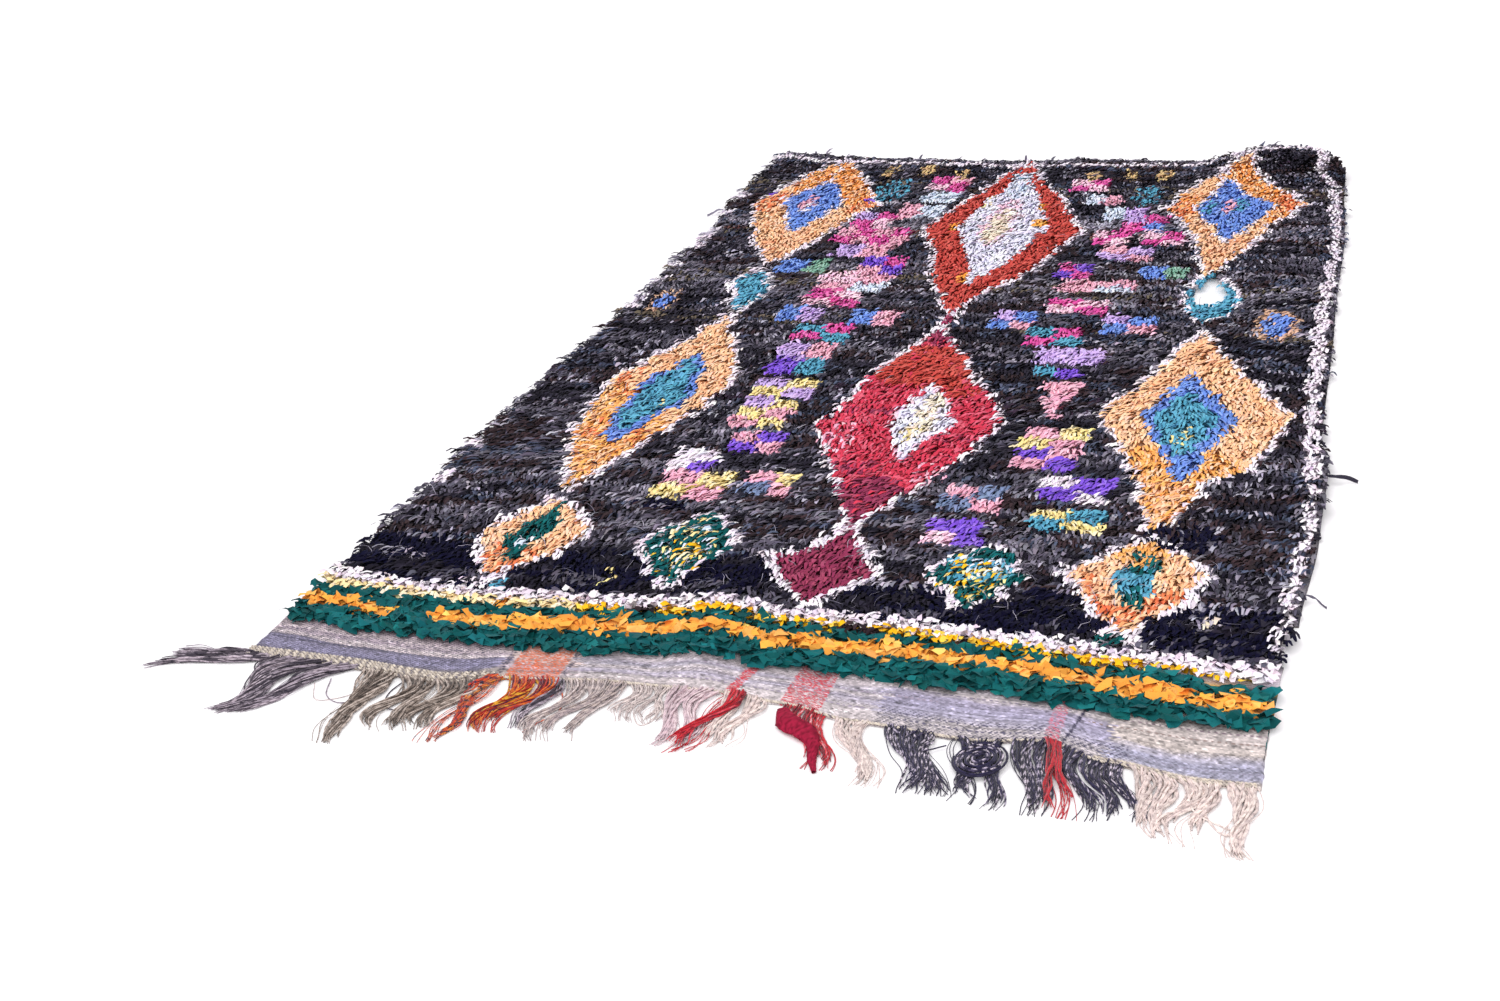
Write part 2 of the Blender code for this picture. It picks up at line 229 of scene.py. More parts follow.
def strips_object(name, points, colours, joined=False, smooth=True, winding=None):
    """points is strips x rows x columns x 3, and colours holds colours for them, by attribute name."""
    strips, rows, columns, _three = points.shape
    strip = np.arange(strips)[:, None, None] * rows * columns
    row = np.arange(rows - 1)[None, :, None] * columns
    last = columns if joined else columns - 1
    side = np.arange(last)[None, None, :]
    after = (side + 1) % columns
    corners = [strip + row + side, strip + row + after]
    corners += [strip + row + columns + after, strip + row + columns + side]
    faces = np.stack([np.broadcast_to(c, (strips, rows - 1, last)) for c in corners], -1).reshape(-1, 4)
    mesh = bpy.data.meshes.new(name)
    mesh.vertices.add(strips * rows * columns)
    mesh.vertices.foreach_set("co", (points + TO_FRAME).astype(np.float32).ravel())
    mesh.loops.add(faces.size)
    mesh.loops.foreach_set("vertex_index", faces.astype(np.int32).ravel())
    mesh.polygons.add(len(faces))
    mesh.polygons.foreach_set("loop_start", np.arange(0, faces.size, 4, dtype=np.int32))
    mesh.polygons.foreach_set("loop_total", np.full(len(faces), 4, np.int32))
    mesh.polygons.foreach_set("use_smooth", np.full(len(faces), smooth))
    mesh.update(calc_edges=True)
    for attribute, values in colours.items():
        made = mesh.color_attributes.new(attribute, "FLOAT_COLOR", "POINT")
        shaded = np.ones((strips * rows * columns, 4), np.float32)
        shaded[:, :3] = np.broadcast_to(values, points.shape).reshape(-1, 3)
        made.data.foreach_set("color", shaded.ravel())
    across = np.stack([side, side + 1, side + 1, side], -1) / last
    along = np.arange(rows - 1)[None, :, None]
    up_strip = np.stack([along, along, along + 1, along + 1], -1) / (rows - 1)
    grid = math.ceil(math.sqrt(strips))
    cell = np.arange(strips)
    inner = 1 - 2 * CELL_MARGIN
    u = (cell % grid)[:, None, None, None] + CELL_MARGIN + inner * across
    v = (cell // grid)[:, None, None, None] + CELL_MARGIN + inner * up_strip
    lay_map(mesh, BAKE_MAP, u / grid, v / grid)
    if winding is not None:
        lay_map(mesh, "wind", across, winding[:, None, None, None] * up_strip)
    made = bpy.data.objects.new(name, mesh)
    bpy.context.scene.collection.objects.link(made)
    return made


def lay_map(mesh, name, u, v):
    """Writes a UV map from arrays of the four corners of every face."""
    u, v = np.broadcast_arrays(u, v)
    laid = np.stack([u, v], -1).astype(np.float32)
    mesh.uv_layers.new(name=name).data.foreach_set("uv", laid.ravel())


HILLS = 64


def soft_noise(x, y, size_x, size_y, seed):
    """Smooth random hills from -1 to 1, of a given size across and along."""
    hills = np.random.default_rng(int(seed)).uniform(-1, 1, (HILLS, HILLS))
    gx, gy = np.asarray(x) / size_x + 10 * HILLS, np.asarray(y) / size_y + 10 * HILLS
    ix, iy = np.floor(gx).astype(int), np.floor(gy).astype(int)
    tx, ty = gx - ix, gy - iy
    tx, ty = tx * tx * (3 - 2 * tx), ty * ty * (3 - 2 * ty)
    ix, iy, next_x, next_y = ix % HILLS, iy % HILLS, (ix + 1) % HILLS, (iy + 1) % HILLS
    near = hills[ix, iy] * (1 - tx) + hills[next_x, iy] * tx
    far = hills[ix, next_y] * (1 - tx) + hills[next_x, next_y] * tx
    return near * (1 - ty) + far * ty


def patchy(x, y, size_x, size_y, seed, least):
    """Whether each place lies on one of the higher hills of a soft noise."""
    return soft_noise(x, y, size_x, size_y, seed) > least


def dress(piece, node, finish):
    """Puts a finish on a piece, rides it on the root, and hides the solid that it stands for."""
    piece.data.materials.append(finish)
    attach(piece, "root")
    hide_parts(node)
    print(piece.name, sum(len(p.vertices) - 2 for p in piece.data.polygons), "triangles")


# %% [markdown]
# Finishes are node trees, and long sums in them are hard to read as a list of nodes. This small class lets
# a socket be added and multiplied like a number, and one method adds every other kind of node.

# %% A socket that can be reckoned with
class Wire:
    """An output of a node. Sums on it add Math nodes, and node() adds any other."""

    def __init__(self, tree, socket=None):
        self.tree = tree
        self.socket = socket

    def node(self, kind, settings=None, inputs=None, output=0):
        made = self.tree.nodes.new(kind)
        for name, value in (settings or {}).items():
            setattr(made, name, value)
        for name, value in (inputs or {}).items():
            if isinstance(value, Wire):
                self.tree.links.new(value.socket, made.inputs[name])
            else:
                made.inputs[name].default_value = value
        return Wire(self.tree, made.outputs[output])

    def maths(self, operation, *values):
        return self.node("ShaderNodeMath", {"operation": operation}, dict(enumerate(values)))

    def __add__(self, other):
        return self.maths("ADD", self, other)

    __radd__ = __add__

    def __sub__(self, other):
        return self.maths("SUBTRACT", self, other)

    def __rsub__(self, other):
        return self.maths("SUBTRACT", other, self)

    def __mul__(self, other):
        return self.maths("MULTIPLY", self, other)

    __rmul__ = __mul__

    def sine(self):
        return self.maths("SINE", self)

    def clipped(self):
        return self.node("ShaderNodeClamp", None, {"Value": self})


MIX_FACTOR, MIX_A, MIX_B, MIX_RESULT = 0, 6, 7, 2


def mixed(kind, factor, first, second):
    """Two colours through one Mix node."""
    settings = {"data_type": "RGBA", "blend_type": kind}
    wire = next(v for v in (factor, first, second) if isinstance(v, Wire))
    inputs = {MIX_FACTOR: factor, MIX_A: first, MIX_B: second}
    return wire.node("ShaderNodeMix", settings, inputs, MIX_RESULT)


def grey(value):
    """A number as a colour, for a Mix that darkens or lightens."""
    return value.node("ShaderNodeCombineColor", None, {"Red": value, "Green": value, "Blue": value})


def new_finish(name, **constants):
    """A material whose plain values are set on the shader's own sockets."""
    made = bpy.data.materials.new(name)
    made.use_nodes = True
    shader = made.node_tree.nodes["Principled BSDF"]
    for socket, value in constants.items():
        shader.inputs[socket.replace("_", " ")].default_value = value
    return made, shader, Wire(made.node_tree)


def feed(shader, socket, wire):
    wire.tree.links.new(wire.socket, shader.inputs[socket])


def bumped(height, strength, distance):
    inputs = {"Height": height, "Strength": strength, "Distance": distance}
    return height.node("ShaderNodeBump", None, inputs)


def split(vector):
    """The x, y and z of a vector."""
    parts = vector.node("ShaderNodeSeparateXYZ", None, {"Vector": vector}).socket.node.outputs
    return [Wire(vector.tree, part) for part in parts]


def fine_noise(place, scale, detail):
    return place.node("ShaderNodeTexNoise", None, {"Vector": place, "Scale": scale, "Detail": detail})


# %% [markdown]
# Rag pile is torn jersey, cotton and wool, washed until it is dull. Its colour comes from the points of the
# mesh, since each rag end has one, with a painted shade at its root, and the nodes add the fibre: faint
# streaks, a painted shade in the creases of the crumple, a matt shine and a knitted bump. Noise in the
# place on the object is used for it, because it needs no unwrapping.

# %% Rag finishes
FIBRE_SCALE = 900.0
KNIT_SCALE = 420.0


def rag_finish(name, roughness, sheen, crease):
    constants = {"Sheen_Weight": sheen, "Sheen_Roughness": 0.5, "Specular_IOR_Level": 0.06}
    made, shader, start = new_finish(name, **constants)
    rag = start.node("ShaderNodeAttribute", {"attribute_name": "rag"})
    place = start.node("ShaderNodeTexCoord", output="Object")
    fibre = fine_noise(place, FIBRE_SCALE, 2.0)
    crumple = fine_noise(place, crease, 3.0)
    knit = start.node("ShaderNodeTexVoronoi", None, {"Vector": place, "Scale": KNIT_SCALE}, "Distance")
    # painted shade: the crumple noise, which is also the bump, darkens the colour in its creases; the fibre
    # noise gives streaks of the rag's own tone
    shade = 0.72 + fibre * 0.32 + crumple * 0.24
    feed(shader, "Base Color", mixed("MULTIPLY", 1.0, rag, grey(shade)))
    feed(shader, "Roughness", (roughness - 0.1) + crumple * 0.2)
    feed(shader, "Normal", bumped(fibre * 0.4 + knit * 0.3 + crumple, 0.5, 0.0012))
    return made


soft_rag = rag_finish("soft_rag", 0.92, 0.02, 160.0)
crisp_rag = rag_finish("crisp_rag", 0.60, 0.04, 90.0)
print("rag finishes", soft_rag.name, crisp_rag.name)

# %% [markdown]
# The knotter works from no drawing, with whatever rags are at hand, so each colour is really two or three
# near ones. A paint here is a main colour, a second one, and how many of the rag ends take the second.

# %% Paints
# name, main colour, second colour, share of the second
PAINTS = table(
    """
    navy #090722 #10102c 0.35;
    black #1a1722 #282532 0.4;
    charcoal #35323e #24212c 0.4;
    steel #3c4256 #555c72 0.4;
    slate #5c5866 #403d49 0.45;
    grey #847f8c #5e5a67 0.4;
    mist #b4afbe #827e8e 0.4;
    brown #3c2d31 #2b2226 0.4;
    plum #3a2a3c #2b222f 0.4;
    olive #6c6152 #454043 0.45;
    rust_brown #6a4440 #3a2c30 0.4;
    tan #dab49a #c69e84 0.4;
    straw #e4c88e #d2ae80 0.5;
    sage #7fae98 #98bcac 0.4;
    tangerine #f09a4c #f4ac62 0.4;
    apricot #f6b86a #f2aa5c 0.4;
    white #f6eef6 #e8dce8 0.3;
    cream #f6ecd8 #ecdcc6 0.3;
    orange #fac698 #fdd6b4 0.35;
    peach #f8c8a2 #f2b184 0.3;
    red_orange #e67c50 #f0a06e 0.35;
    rust #c64a42 #d45f55 0.35;
    crimson #cf3c54 #dc6076 0.35;
    rose #8e3454 #a24662 0.35;
    blue #6c90de #86a6e8 0.35;
    teal #62acc8 #4c94b0 0.35;
    green #0a5254 #126466 0.3;
    ice #d2dff0 #e8ecf6 0.35;
    haze #eae8fa #f2f0fa 0.3;
    magenta #dc52a2 #e878b6 0.3;
    pink #e9abc0 #f3c2d2 0.35;
    blush #f6cade #f8dce6 0.35;
    purple #7f54d4 #9670de 0.3;
    lilac #c9ace4 #dabff0 0.35;
    lemon #f4e098 #f8ecc0 0.3;
    amber #f0a444 #f6b860 0.3;
    yellow #f6bc20 #fad050 0.3;
    pale_yellow #f6dfa8 #f6eace 0.4;
    blue_grey #8090b4 #6b7c9c 0.4
    """
)
PAINTS = {name: rest for name, *rest in PAINTS}


def linear(code):
    """A colour such as #f6bc20, as light."""
    value = np.array([int(code[i : i + 2], 16) for i in (1, 3, 5)]) / 255
    return np.where(value <= 0.04045, value / 12.92, ((value + 0.055) / 1.055) ** 2.4)


def painted(name, count, rng):
    """Colours for a number of rag ends in one paint."""
    main, second, share = PAINTS[name]
    pick = rng.random((count, 1)) < share
    return np.where(pick, linear(second), linear(main))


print(len(PAINTS), "paints")

# %% [markdown]
# This is the chart of the pile, set down in the rug's own metres. Three columns of lozenges run up
# it, with small bricks between them, on bands of dark rags. Each lozenge is a ring of corners, x and y in
# turn, that runs from the top down the right side and back up the left, so its sides can be uneven.

# %% Lozenges
# paint, paint of its rim, width of the rim, corners
LOZENGES = table(
    """
    orange white 0.015 -0.53 2.48 -0.45 2.31 -0.36 2.1 -0.4 1.98 -0.455 1.76 -0.495 1.66 -0.57 1.8 -0.64
        2.0 -0.665 2.1 -0.6 2.32;
    blue white 0.01 -0.53 2.28 -0.45 2.13 -0.455 2.07 -0.505 1.87 -0.54 1.95 -0.6 2.13;
    teal white 0.017 -0.5 1.61 -0.445 1.5 -0.455 1.38 -0.475 1.36 -0.53 1.53;
    orange white 0.016 -0.475 1.32 -0.44 1.22 -0.375 1.06 -0.355 0.98 -0.375 0.83 -0.435 0.65 -0.48 0.49
        -0.545 0.65 -0.59 0.86 -0.585 0.97 -0.545 1.06 -0.5 1.22;
    blue orange 0.0 -0.465 1.12 -0.43 1.05 -0.4 0.9 -0.44 0.79 -0.47 0.68 -0.505 0.7 -0.53 0.9 -0.515 0.98
        -0.485 1.04;
    teal blue 0.0 -0.463 1.09 -0.442 1.04 -0.416 0.9 -0.453 0.795 -0.478 0.735 -0.497 0.745 -0.516 0.9
        -0.5 0.975 -0.48 1.02;
    orange white 0.014 -0.475 0.44 -0.38 0.34 -0.4 0.27 -0.48 0.17 -0.53 0.24 -0.56 0.32;
    green orange 0.0 -0.47 0.43 -0.432 0.33 -0.475 0.215 -0.508 0.3;
    green white 0.013 -0.205 0.435 -0.145 0.37 -0.13 0.31 -0.17 0.26 -0.185 0.19 -0.235 0.24 -0.275 0.31
        -0.25 0.37;
    rust white 0.013 -0.055 2.49 0.0 2.33 0.08 2.16 0.165 1.93 0.12 1.77 0.08 1.62 0.01 1.5 -0.012 1.385
        -0.062 1.5 -0.105 1.62 -0.135 1.76 -0.195 1.93 -0.16 2.06;
    haze rust 0.0 -0.05 2.385 0.035 2.15 0.085 1.97 0.07 1.84 0.04 1.73 -0.015 1.555 -0.035 1.66 -0.08
        1.79 -0.125 1.95 -0.1 2.11;
    rose white 0.012 -0.01 1.395 0.006 1.345 0.0 1.3 -0.022 1.35;
    crimson white 0.012 -0.01 1.31 0.03 1.22 0.075 1.15 0.1 1.05 0.165 0.96 0.19 0.88 0.175 0.76 0.12 0.62
        0.045 0.43 -0.03 0.6 -0.075 0.7 -0.125 0.82 -0.085 1.0 -0.075 1.1 -0.03 1.24;
    haze blush 0.006 0.04 1.02 0.075 0.95 0.11 0.86 0.055 0.68 0.01 0.82 0.0 0.88;
    rose white 0.02 0.045 0.43 0.075 0.35 0.115 0.28 0.08 0.23 0.05 0.18 0.0 0.22 -0.045 0.29 0.01 0.35;
    green white 0.015 0.275 0.395 0.32 0.36 0.34 0.3 0.31 0.25 0.275 0.205 0.24 0.25 0.205 0.31 0.23 0.36;
    orange white 0.015 0.48 2.51 0.53 2.36 0.6 2.25 0.648 2.18 0.58 2.05 0.545 1.92 0.478 1.66 0.42 1.93
        0.38 2.05 0.335 2.12 0.365 2.24 0.43 2.4;
    blue white 0.01 0.455 2.36 0.5 2.25 0.578 2.17 0.54 2.05 0.488 1.9 0.455 2.0 0.4 2.13 0.43 2.22;
    teal white 0.013 0.485 1.685 0.525 1.62 0.55 1.54 0.535 1.45 0.5 1.405 0.465 1.45 0.445 1.54 0.455
        1.62;
    orange white 0.013 0.5 1.35 0.54 1.24 0.64 1.05 0.69 0.97 0.67 0.87 0.63 0.74 0.575 0.69 0.535 0.53
        0.505 0.5 0.46 0.7 0.42 0.8 0.37 0.93 0.42 1.06 0.46 1.22;
    blue orange 0.0 0.505 1.14 0.545 1.05 0.605 0.94 0.585 0.85 0.53 0.66 0.505 0.74 0.47 0.84 0.435 0.94
        0.485 1.08;
    teal blue 0.0 0.505 1.05 0.57 0.94 0.56 0.86 0.525 0.76 0.48 0.85 0.455 0.94;
    orange white 0.019 0.51 0.46 0.56 0.41 0.61 0.36 0.57 0.26 0.51 0.17 0.46 0.25 0.41 0.34 0.46 0.4;
    teal orange 0.0 0.5 0.385 0.54 0.36 0.545 0.3 0.515 0.262 0.484 0.31 0.482 0.36
    """
)

# %% [markdown]
# Within and beside the lozenges the weaver changed rags as they ran out. These patches are ovals in which
# only some rag ends take the new paint, so that they fade into what is round them.

# %% Patches
# paint, middle x, middle y, half across, half along, share of the rag ends
PATCHES = table(
    """
    white -0.53 2.385 0.007 0.095 0.9;
    pink -0.53 2.1 0.02 0.05 0.6;
    white -0.52 2.06 0.02 0.035 0.5;
    red_orange -0.64 2.1 0.045 0.08 0.6;
    red_orange -0.385 2.1 0.04 0.075 0.6;
    tangerine -0.54 2.33 0.11 0.16 0.6;
    tangerine -0.43 2.19 0.05 0.1 0.5;
    blue -0.53 2.16 0.04 0.05 0.8;
    pink -0.53 2.11 0.014 0.045 0.7;
    tangerine 0.52 2.34 0.09 0.14 0.6;
    tangerine 0.375 2.12 0.04 0.12 0.5;
    tangerine 0.59 2.13 0.04 0.1 0.5;
    apricot -0.48 0.66 0.1 0.17 0.6;
    apricot 0.52 0.66 0.11 0.17 0.6;
    apricot -0.56 0.87 0.03 0.1 0.5;
    amber 0.066 1.99 0.015 0.03 0.8;
    amber 0.048 2.11 0.01 0.03 0.7;
    amber -0.13 1.94 0.012 0.035 0.8;
    lemon -0.088 2.14 0.01 0.05 0.6;
    amber -0.03 1.6 0.01 0.035 0.8;
    purple -0.655 2.165 0.01 0.018 0.8;
    purple -0.385 2.13 0.01 0.018 0.8;
    peach -0.5 1.8 0.06 0.11 0.6;
    red_orange -0.55 0.95 0.026 0.06 0.35;
    red_orange -0.52 0.72 0.03 0.045 0.35;
    red_orange -0.44 0.7 0.025 0.04 0.35;
    charcoal -0.372 0.838 0.014 0.016 0.9;
    brown -0.455 0.515 0.012 0.016 0.7;
    peach -0.48 0.59 0.03 0.06 0.4;
    lemon -0.455 0.85 0.008 0.03 0.3;
    ice -0.465 0.28 0.012 0.014 0.7;
    red_orange -0.485 0.225 0.06 0.05 0.7;
    green -0.472 0.235 0.01 0.014 0.9;
    teal -0.46 0.14 0.02 0.016 0.9;
    white -0.5 0.15 0.03 0.012 0.8;
    lemon -0.2 0.33 0.045 0.085 0.3;
    ice -0.2 0.32 0.05 0.08 0.14;
    yellow -0.205 0.28 0.04 0.06 0.12;
    teal -0.045 2.33 0.026 0.07 0.3;
    ice -0.04 2.28 0.034 0.11 0.7;
    blush -0.03 1.99 0.042 0.17 0.6;
    cream -0.03 1.96 0.026 0.13 0.85;
    rust 0.0 1.11 0.11 0.11 0.92;
    rose -0.002 1.25 0.022 0.045 0.8;
    rose -0.065 0.885 0.06 0.008 0.5;
    rose 0.14 0.775 0.05 0.01 0.5;
    rose -0.07 0.765 0.04 0.012 0.5;
    rust 0.09 1.01 0.05 0.05 0.7;
    rose 0.035 0.52 0.07 0.095 0.85;
    rose -0.02 0.64 0.06 0.025 0.4;
    pink 0.12 0.64 0.03 0.05 0.25;
    pink -0.07 0.76 0.03 0.07 0.25;
    cream 0.056 0.88 0.021 0.105 0.8;
    lemon 0.05 0.8 0.02 0.04 0.3;
    ice 0.275 0.335 0.05 0.04 0.55;
    teal 0.275 0.325 0.055 0.045 0.4;
    yellow 0.27 0.31 0.05 0.075 0.16;
    lemon 0.275 0.29 0.045 0.06 0.16;
    green 0.28 0.375 0.035 0.018 0.8;
    white 0.45 2.44 0.007 0.06 0.8;
    red_orange 0.62 2.19 0.045 0.09 0.6;
    red_orange 0.365 2.11 0.035 0.07 0.5;
    teal 0.425 2.135 0.018 0.04 0.6;
    teal 0.5 2.16 0.02 0.04 0.5;
    pink 0.475 2.15 0.015 0.045 0.85;
    peach 0.487 1.82 0.06 0.12 0.7;
    peach 0.5 1.25 0.05 0.08 0.4;
    lemon 0.52 0.85 0.018 0.05 0.3;
    peach 0.51 0.6 0.05 0.08 0.4;
    green 0.518 0.385 0.022 0.045 0.95;
    green 0.514 0.275 0.016 0.03 0.9;
    red_orange 0.56 0.28 0.03 0.035 0.75;
    red_orange 0.45 0.29 0.025 0.04 0.6;
    red_orange 0.5 0.225 0.045 0.03 0.6;
    apricot 0.51 0.43 0.05 0.05 0.5;
    green 0.505 0.152 0.026 0.014 0.95;
    white 0.535 0.15 0.016 0.014 0.8;
    tan -0.65 1.39 0.032 0.07 0.5;
    blue -0.65 1.39 0.02 0.042 0.9;
    tan 0.633 1.4 0.045 0.085 0.92;
    blue 0.633 1.4 0.028 0.068 0.9;
    teal -0.345 2.22 0.042 0.095 0.55;
    teal 0.28 2.22 0.03 0.085 0.55;
    straw -0.39 2.37 0.017 0.05 0.75;
    straw -0.3 2.39 0.017 0.05 0.75;
    straw -0.2 2.35 0.017 0.05 0.75;
    straw 0.125 2.37 0.017 0.045 0.75;
    straw 0.22 2.38 0.017 0.045 0.75;
    straw 0.3 2.38 0.017 0.045 0.75;
    mist 0.62 0.235 0.022 0.03 0.45;
    cream 0.62 0.228 0.016 0.024 0.2;
    mist -0.66 0.215 0.05 0.016 0.7;
    lemon -0.29 0.19 0.006 0.04 0.6;
    grey -0.2 0.455 0.12 0.018 0.5;
    navy -0.3 0.455 0.05 0.016 0.9;
    mist 0.165 0.255 0.05 0.016 0.6;
    navy 0.56 0.48 0.06 0.05 0.7;
    rust_brown 0.15 2.46 0.16 0.02 0.4;
    rust_brown -0.49 2.52 0.03 0.014 0.8;
    rust_brown -0.27 2.5 0.03 0.014 0.8
    """
)

# %% [markdown]
# The bricks are small checks of two rags, tied over three or four rows. Each brick is given by its sides,
# and by its paints row by row from the top, with a stroke between the rows.

# %% Bricks
# left, right, low, high, rows of paints from the top
BRICKS = table(
    """
    -0.27 -0.17 2.22 2.33 magenta pink / blush magenta;
    -0.265 -0.17 2.13 2.21 ice ice;
    -0.29 -0.18 2.0 2.11 pink ice;
    -0.38 -0.28 1.93 2.04 lilac magenta / magenta blush;
    -0.395 -0.22 1.81 1.92 pink magenta pink magenta / magenta pink magenta pink;
    -0.37 -0.245 1.71 1.8 lilac pink;
    -0.46 -0.4 1.6 1.69 blue;
    -0.395 -0.35 1.6 1.69 sage;
    -0.28 -0.18 1.6 1.72 purple magenta / pink purple;
    -0.345 -0.19 1.5 1.61 blush pink / pink ice;
    -0.34 -0.225 1.4 1.5 magenta blush / blush magenta;
    -0.37 -0.28 1.31 1.39 blue lilac;
    -0.22 -0.115 1.31 1.4 blue pink;
    -0.31 -0.19 1.21 1.3 teal magenta / magenta teal;
    -0.31 -0.195 1.11 1.2 lilac pink;
    -0.305 -0.195 1.03 1.11 purple teal;
    -0.3 -0.18 0.92 1.01 lilac lemon / lemon lilac;
    -0.295 -0.19 0.78 0.915 lilac lemon / lemon pink / pink lemon;
    -0.26 -0.16 0.68 0.765 pink purple / purple pink;
    -0.34 -0.255 0.59 0.675 white white / white purple;
    -0.33 -0.21 0.475 0.585 pink lemon / lemon pink;
    -0.18 -0.09 0.52 0.605 pink lemon / blue_grey pink;
    0.085 0.175 2.245 2.335 blush magenta / magenta blush;
    0.13 0.22 2.13 2.225 ice pink;
    0.2 0.295 2.03 2.12 ice lilac;
    0.25 0.35 1.95 2.06 lilac magenta / magenta blue;
    0.2 0.28 1.85 1.95 blush magenta / magenta blush;
    0.31 0.4 1.85 1.95 blush magenta / magenta blush;
    0.23 0.35 1.76 1.84 pink lilac / lilac pink;
    0.16 0.235 1.63 1.71 magenta purple / purple magenta;
    0.335 0.385 1.65 1.72 blue;
    0.385 0.435 1.65 1.72 sage;
    0.175 0.34 1.55 1.62 pink pink / pink ice;
    0.175 0.3 1.42 1.51 magenta blush / blush magenta;
    0.08 0.165 1.31 1.42 lilac blue / blue pink;
    0.305 0.41 1.32 1.42 lilac blue / blue pink;
    0.165 0.275 1.24 1.33 teal magenta / magenta teal;
    0.2 0.33 1.15 1.23 lilac lilac;
    0.215 0.305 1.08 1.13 teal purple;
    0.24 0.315 1.02 1.07 pink pink;
    0.255 0.305 0.96 1.02 pink;
    0.27 0.292 0.9 0.96 pink;
    0.25 0.355 0.77 0.86 pink lemon / lemon pink;
    0.25 0.36 0.68 0.77 purple pink / pink purple;
    0.315 0.43 0.57 0.665 white purple / purple white;
    0.32 0.435 0.465 0.545 lemon teal / teal lemon;
    0.165 0.265 0.52 0.61 pink blue_grey / blue_grey pink;
    0.165 0.255 0.4 0.485 purple purple / blush purple
    """
)

# %% [markdown]
# The ground is every dark rag in the house, tied in as it came: each stretch of a row is one rag, so the
# colour runs in streaks along the rows, on bands that are lighter or darker over a hand's breadth.

# %% Bands of the ground, the border and the end line
# from y, to y, the paint, and the paint of its streaks
BANDS = table(
    """
    0.0 0.158 navy slate;
    0.158 0.185 slate navy;
    0.185 0.27 navy navy;
    0.27 0.34 charcoal slate;
    0.34 0.4 slate grey;
    0.4 0.44 brown slate;
    0.44 0.465 grey slate;
    0.465 0.5 slate brown;
    0.5 0.58 brown charcoal;
    0.58 0.61 grey slate;
    0.61 0.7 charcoal slate;
    0.7 0.8 slate charcoal;
    0.8 0.9 black charcoal;
    0.9 0.96 charcoal plum;
    0.96 1.0 slate plum;
    1.0 1.15 black charcoal;
    1.15 1.2 slate grey;
    1.2 1.3 charcoal black;
    1.3 1.36 charcoal olive;
    1.36 1.45 slate charcoal;
    1.45 1.52 grey slate;
    1.52 1.62 olive grey;
    1.62 1.7 slate grey;
    1.7 1.8 charcoal slate;
    1.8 1.86 black charcoal;
    1.86 1.9 olive slate;
    1.9 1.925 rust_brown grey;
    1.925 2.02 grey mist;
    2.02 2.12 charcoal slate;
    2.12 2.2 slate charcoal;
    2.2 2.3 charcoal olive;
    2.3 2.42 black charcoal;
    2.42 2.47 slate plum;
    2.47 2.6 grey slate
    """
)
# left, right, low, high, paint: where one dark rag lasted for many rows
DARK_FIELDS = table(
    """
    -0.7 -0.48 1.66 1.9 black;
    0.56 0.7 1.05 1.32 black;
    -0.74 -0.56 0.49 0.58 brown;
    -0.7 -0.56 2.3 2.47 black;
    0.48 0.66 2.36 2.52 black;
    0.08 0.24 0.98 1.16 black;
    0.52 0.74 0.14 0.275 navy;
    0.56 0.72 0.285 0.4 black;
    0.58 0.72 0.45 0.53 brown;
    0.6 0.72 0.58 0.72 black
    """
)
# along y, middle of the right white border x
BORDER_LINE = table(
    """
    0.15 0.728;
    0.4 0.735;
    0.6 0.745;
    0.8 0.73;
    1.0 0.72;
    1.2 0.715;
    1.5 0.71;
    1.6 0.715;
    1.8 0.72;
    2.0 0.715;
    2.2 0.705;
    2.3 0.7;
    2.4 0.665;
    2.55 0.64
    """
)
# Patchy places are written as their size across, size along, seed and how rare they are
BORDER_HALF = 0.014
BORDER_WAVE = (0.012, 0.065)
BORDER_WHITE = (0.05, 0.030, 6, -0.62)
SELVEDGE = 0.012
LEFT_RIM = 0.036
LEFT_BITS = (0.1, 0.045, 7, 0.35)
LEFT_WHITE = 0.7
# across x, middle of the white line at the far end y
END_LINE = table(
    """
    -0.75 2.468;
    -0.5 2.458;
    -0.1 2.446;
    0.05 2.455;
    0.35 2.472;
    0.45 2.505;
    0.75 2.525
    """
)
END_LINE_HALF = 0.011
# from, to, in metres up from the start of the pile, paint
STRIPES = table(
    """
    -0.05 0.04 green;
    0.04 0.072 amber;
    0.072 0.095 green;
    0.095 0.109 yellow;
    0.109 0.139 white
    """
)
STRIPE_SLIP = 0.026
SLIP_FROM, SLIP_RUN = 0.38, 0.34
SLIP_MIDDLE, SLIP_REACH = 0.055, 0.10
STREAKS = (0.17, 0.015, 4, 0.10)
DARK_STREAKS = (0.17 * 0.6, 0.015, 5, 0.42)
LINE_GAPS = (0.05, 0.4, 8, 0.42)
AMBER_BITS = (0.06, 0.4, 9, 0.5)
# paint, share of the rag ends, size across, size along, seed, how rare
GREY_BITS = table(
    """
    slate 0.55 0.13 0.02 11 0.2;
    steel 0.6 0.09 0.022 38 0.45;
    grey 0.45 0.11 0.018 39 0.38;
    brown 0.7 0.14 0.022 40 0.4;
    mist 0.5 0.06 0.013 10 0.62
    """
)
BITS_FROM = 0.27
FIELD_SHARE = 0.8
BAND_SWAY, BAND_WAVES = 0.012, (0.35, 0.4, 3)
YELLOW_LINE = (0.093, 0.107)
PALE_LINE = (0.093, 0.115)
PALE_UP_TO = -0.3
KNOT_ROWS = 0.021
ROW_PULL = 0.65
KNOT_SLIP, ROW_SLIPS = 0.008, (0.12, 1.0, 31)
RIM_EVEN, RIM_VARIES, RIM_WAVES = 0.85, 0.65, (0.022, 0.018, 32)
DYE_VARIES, DYE_WAVES = 0.10, (0.018, 0.013, 34)


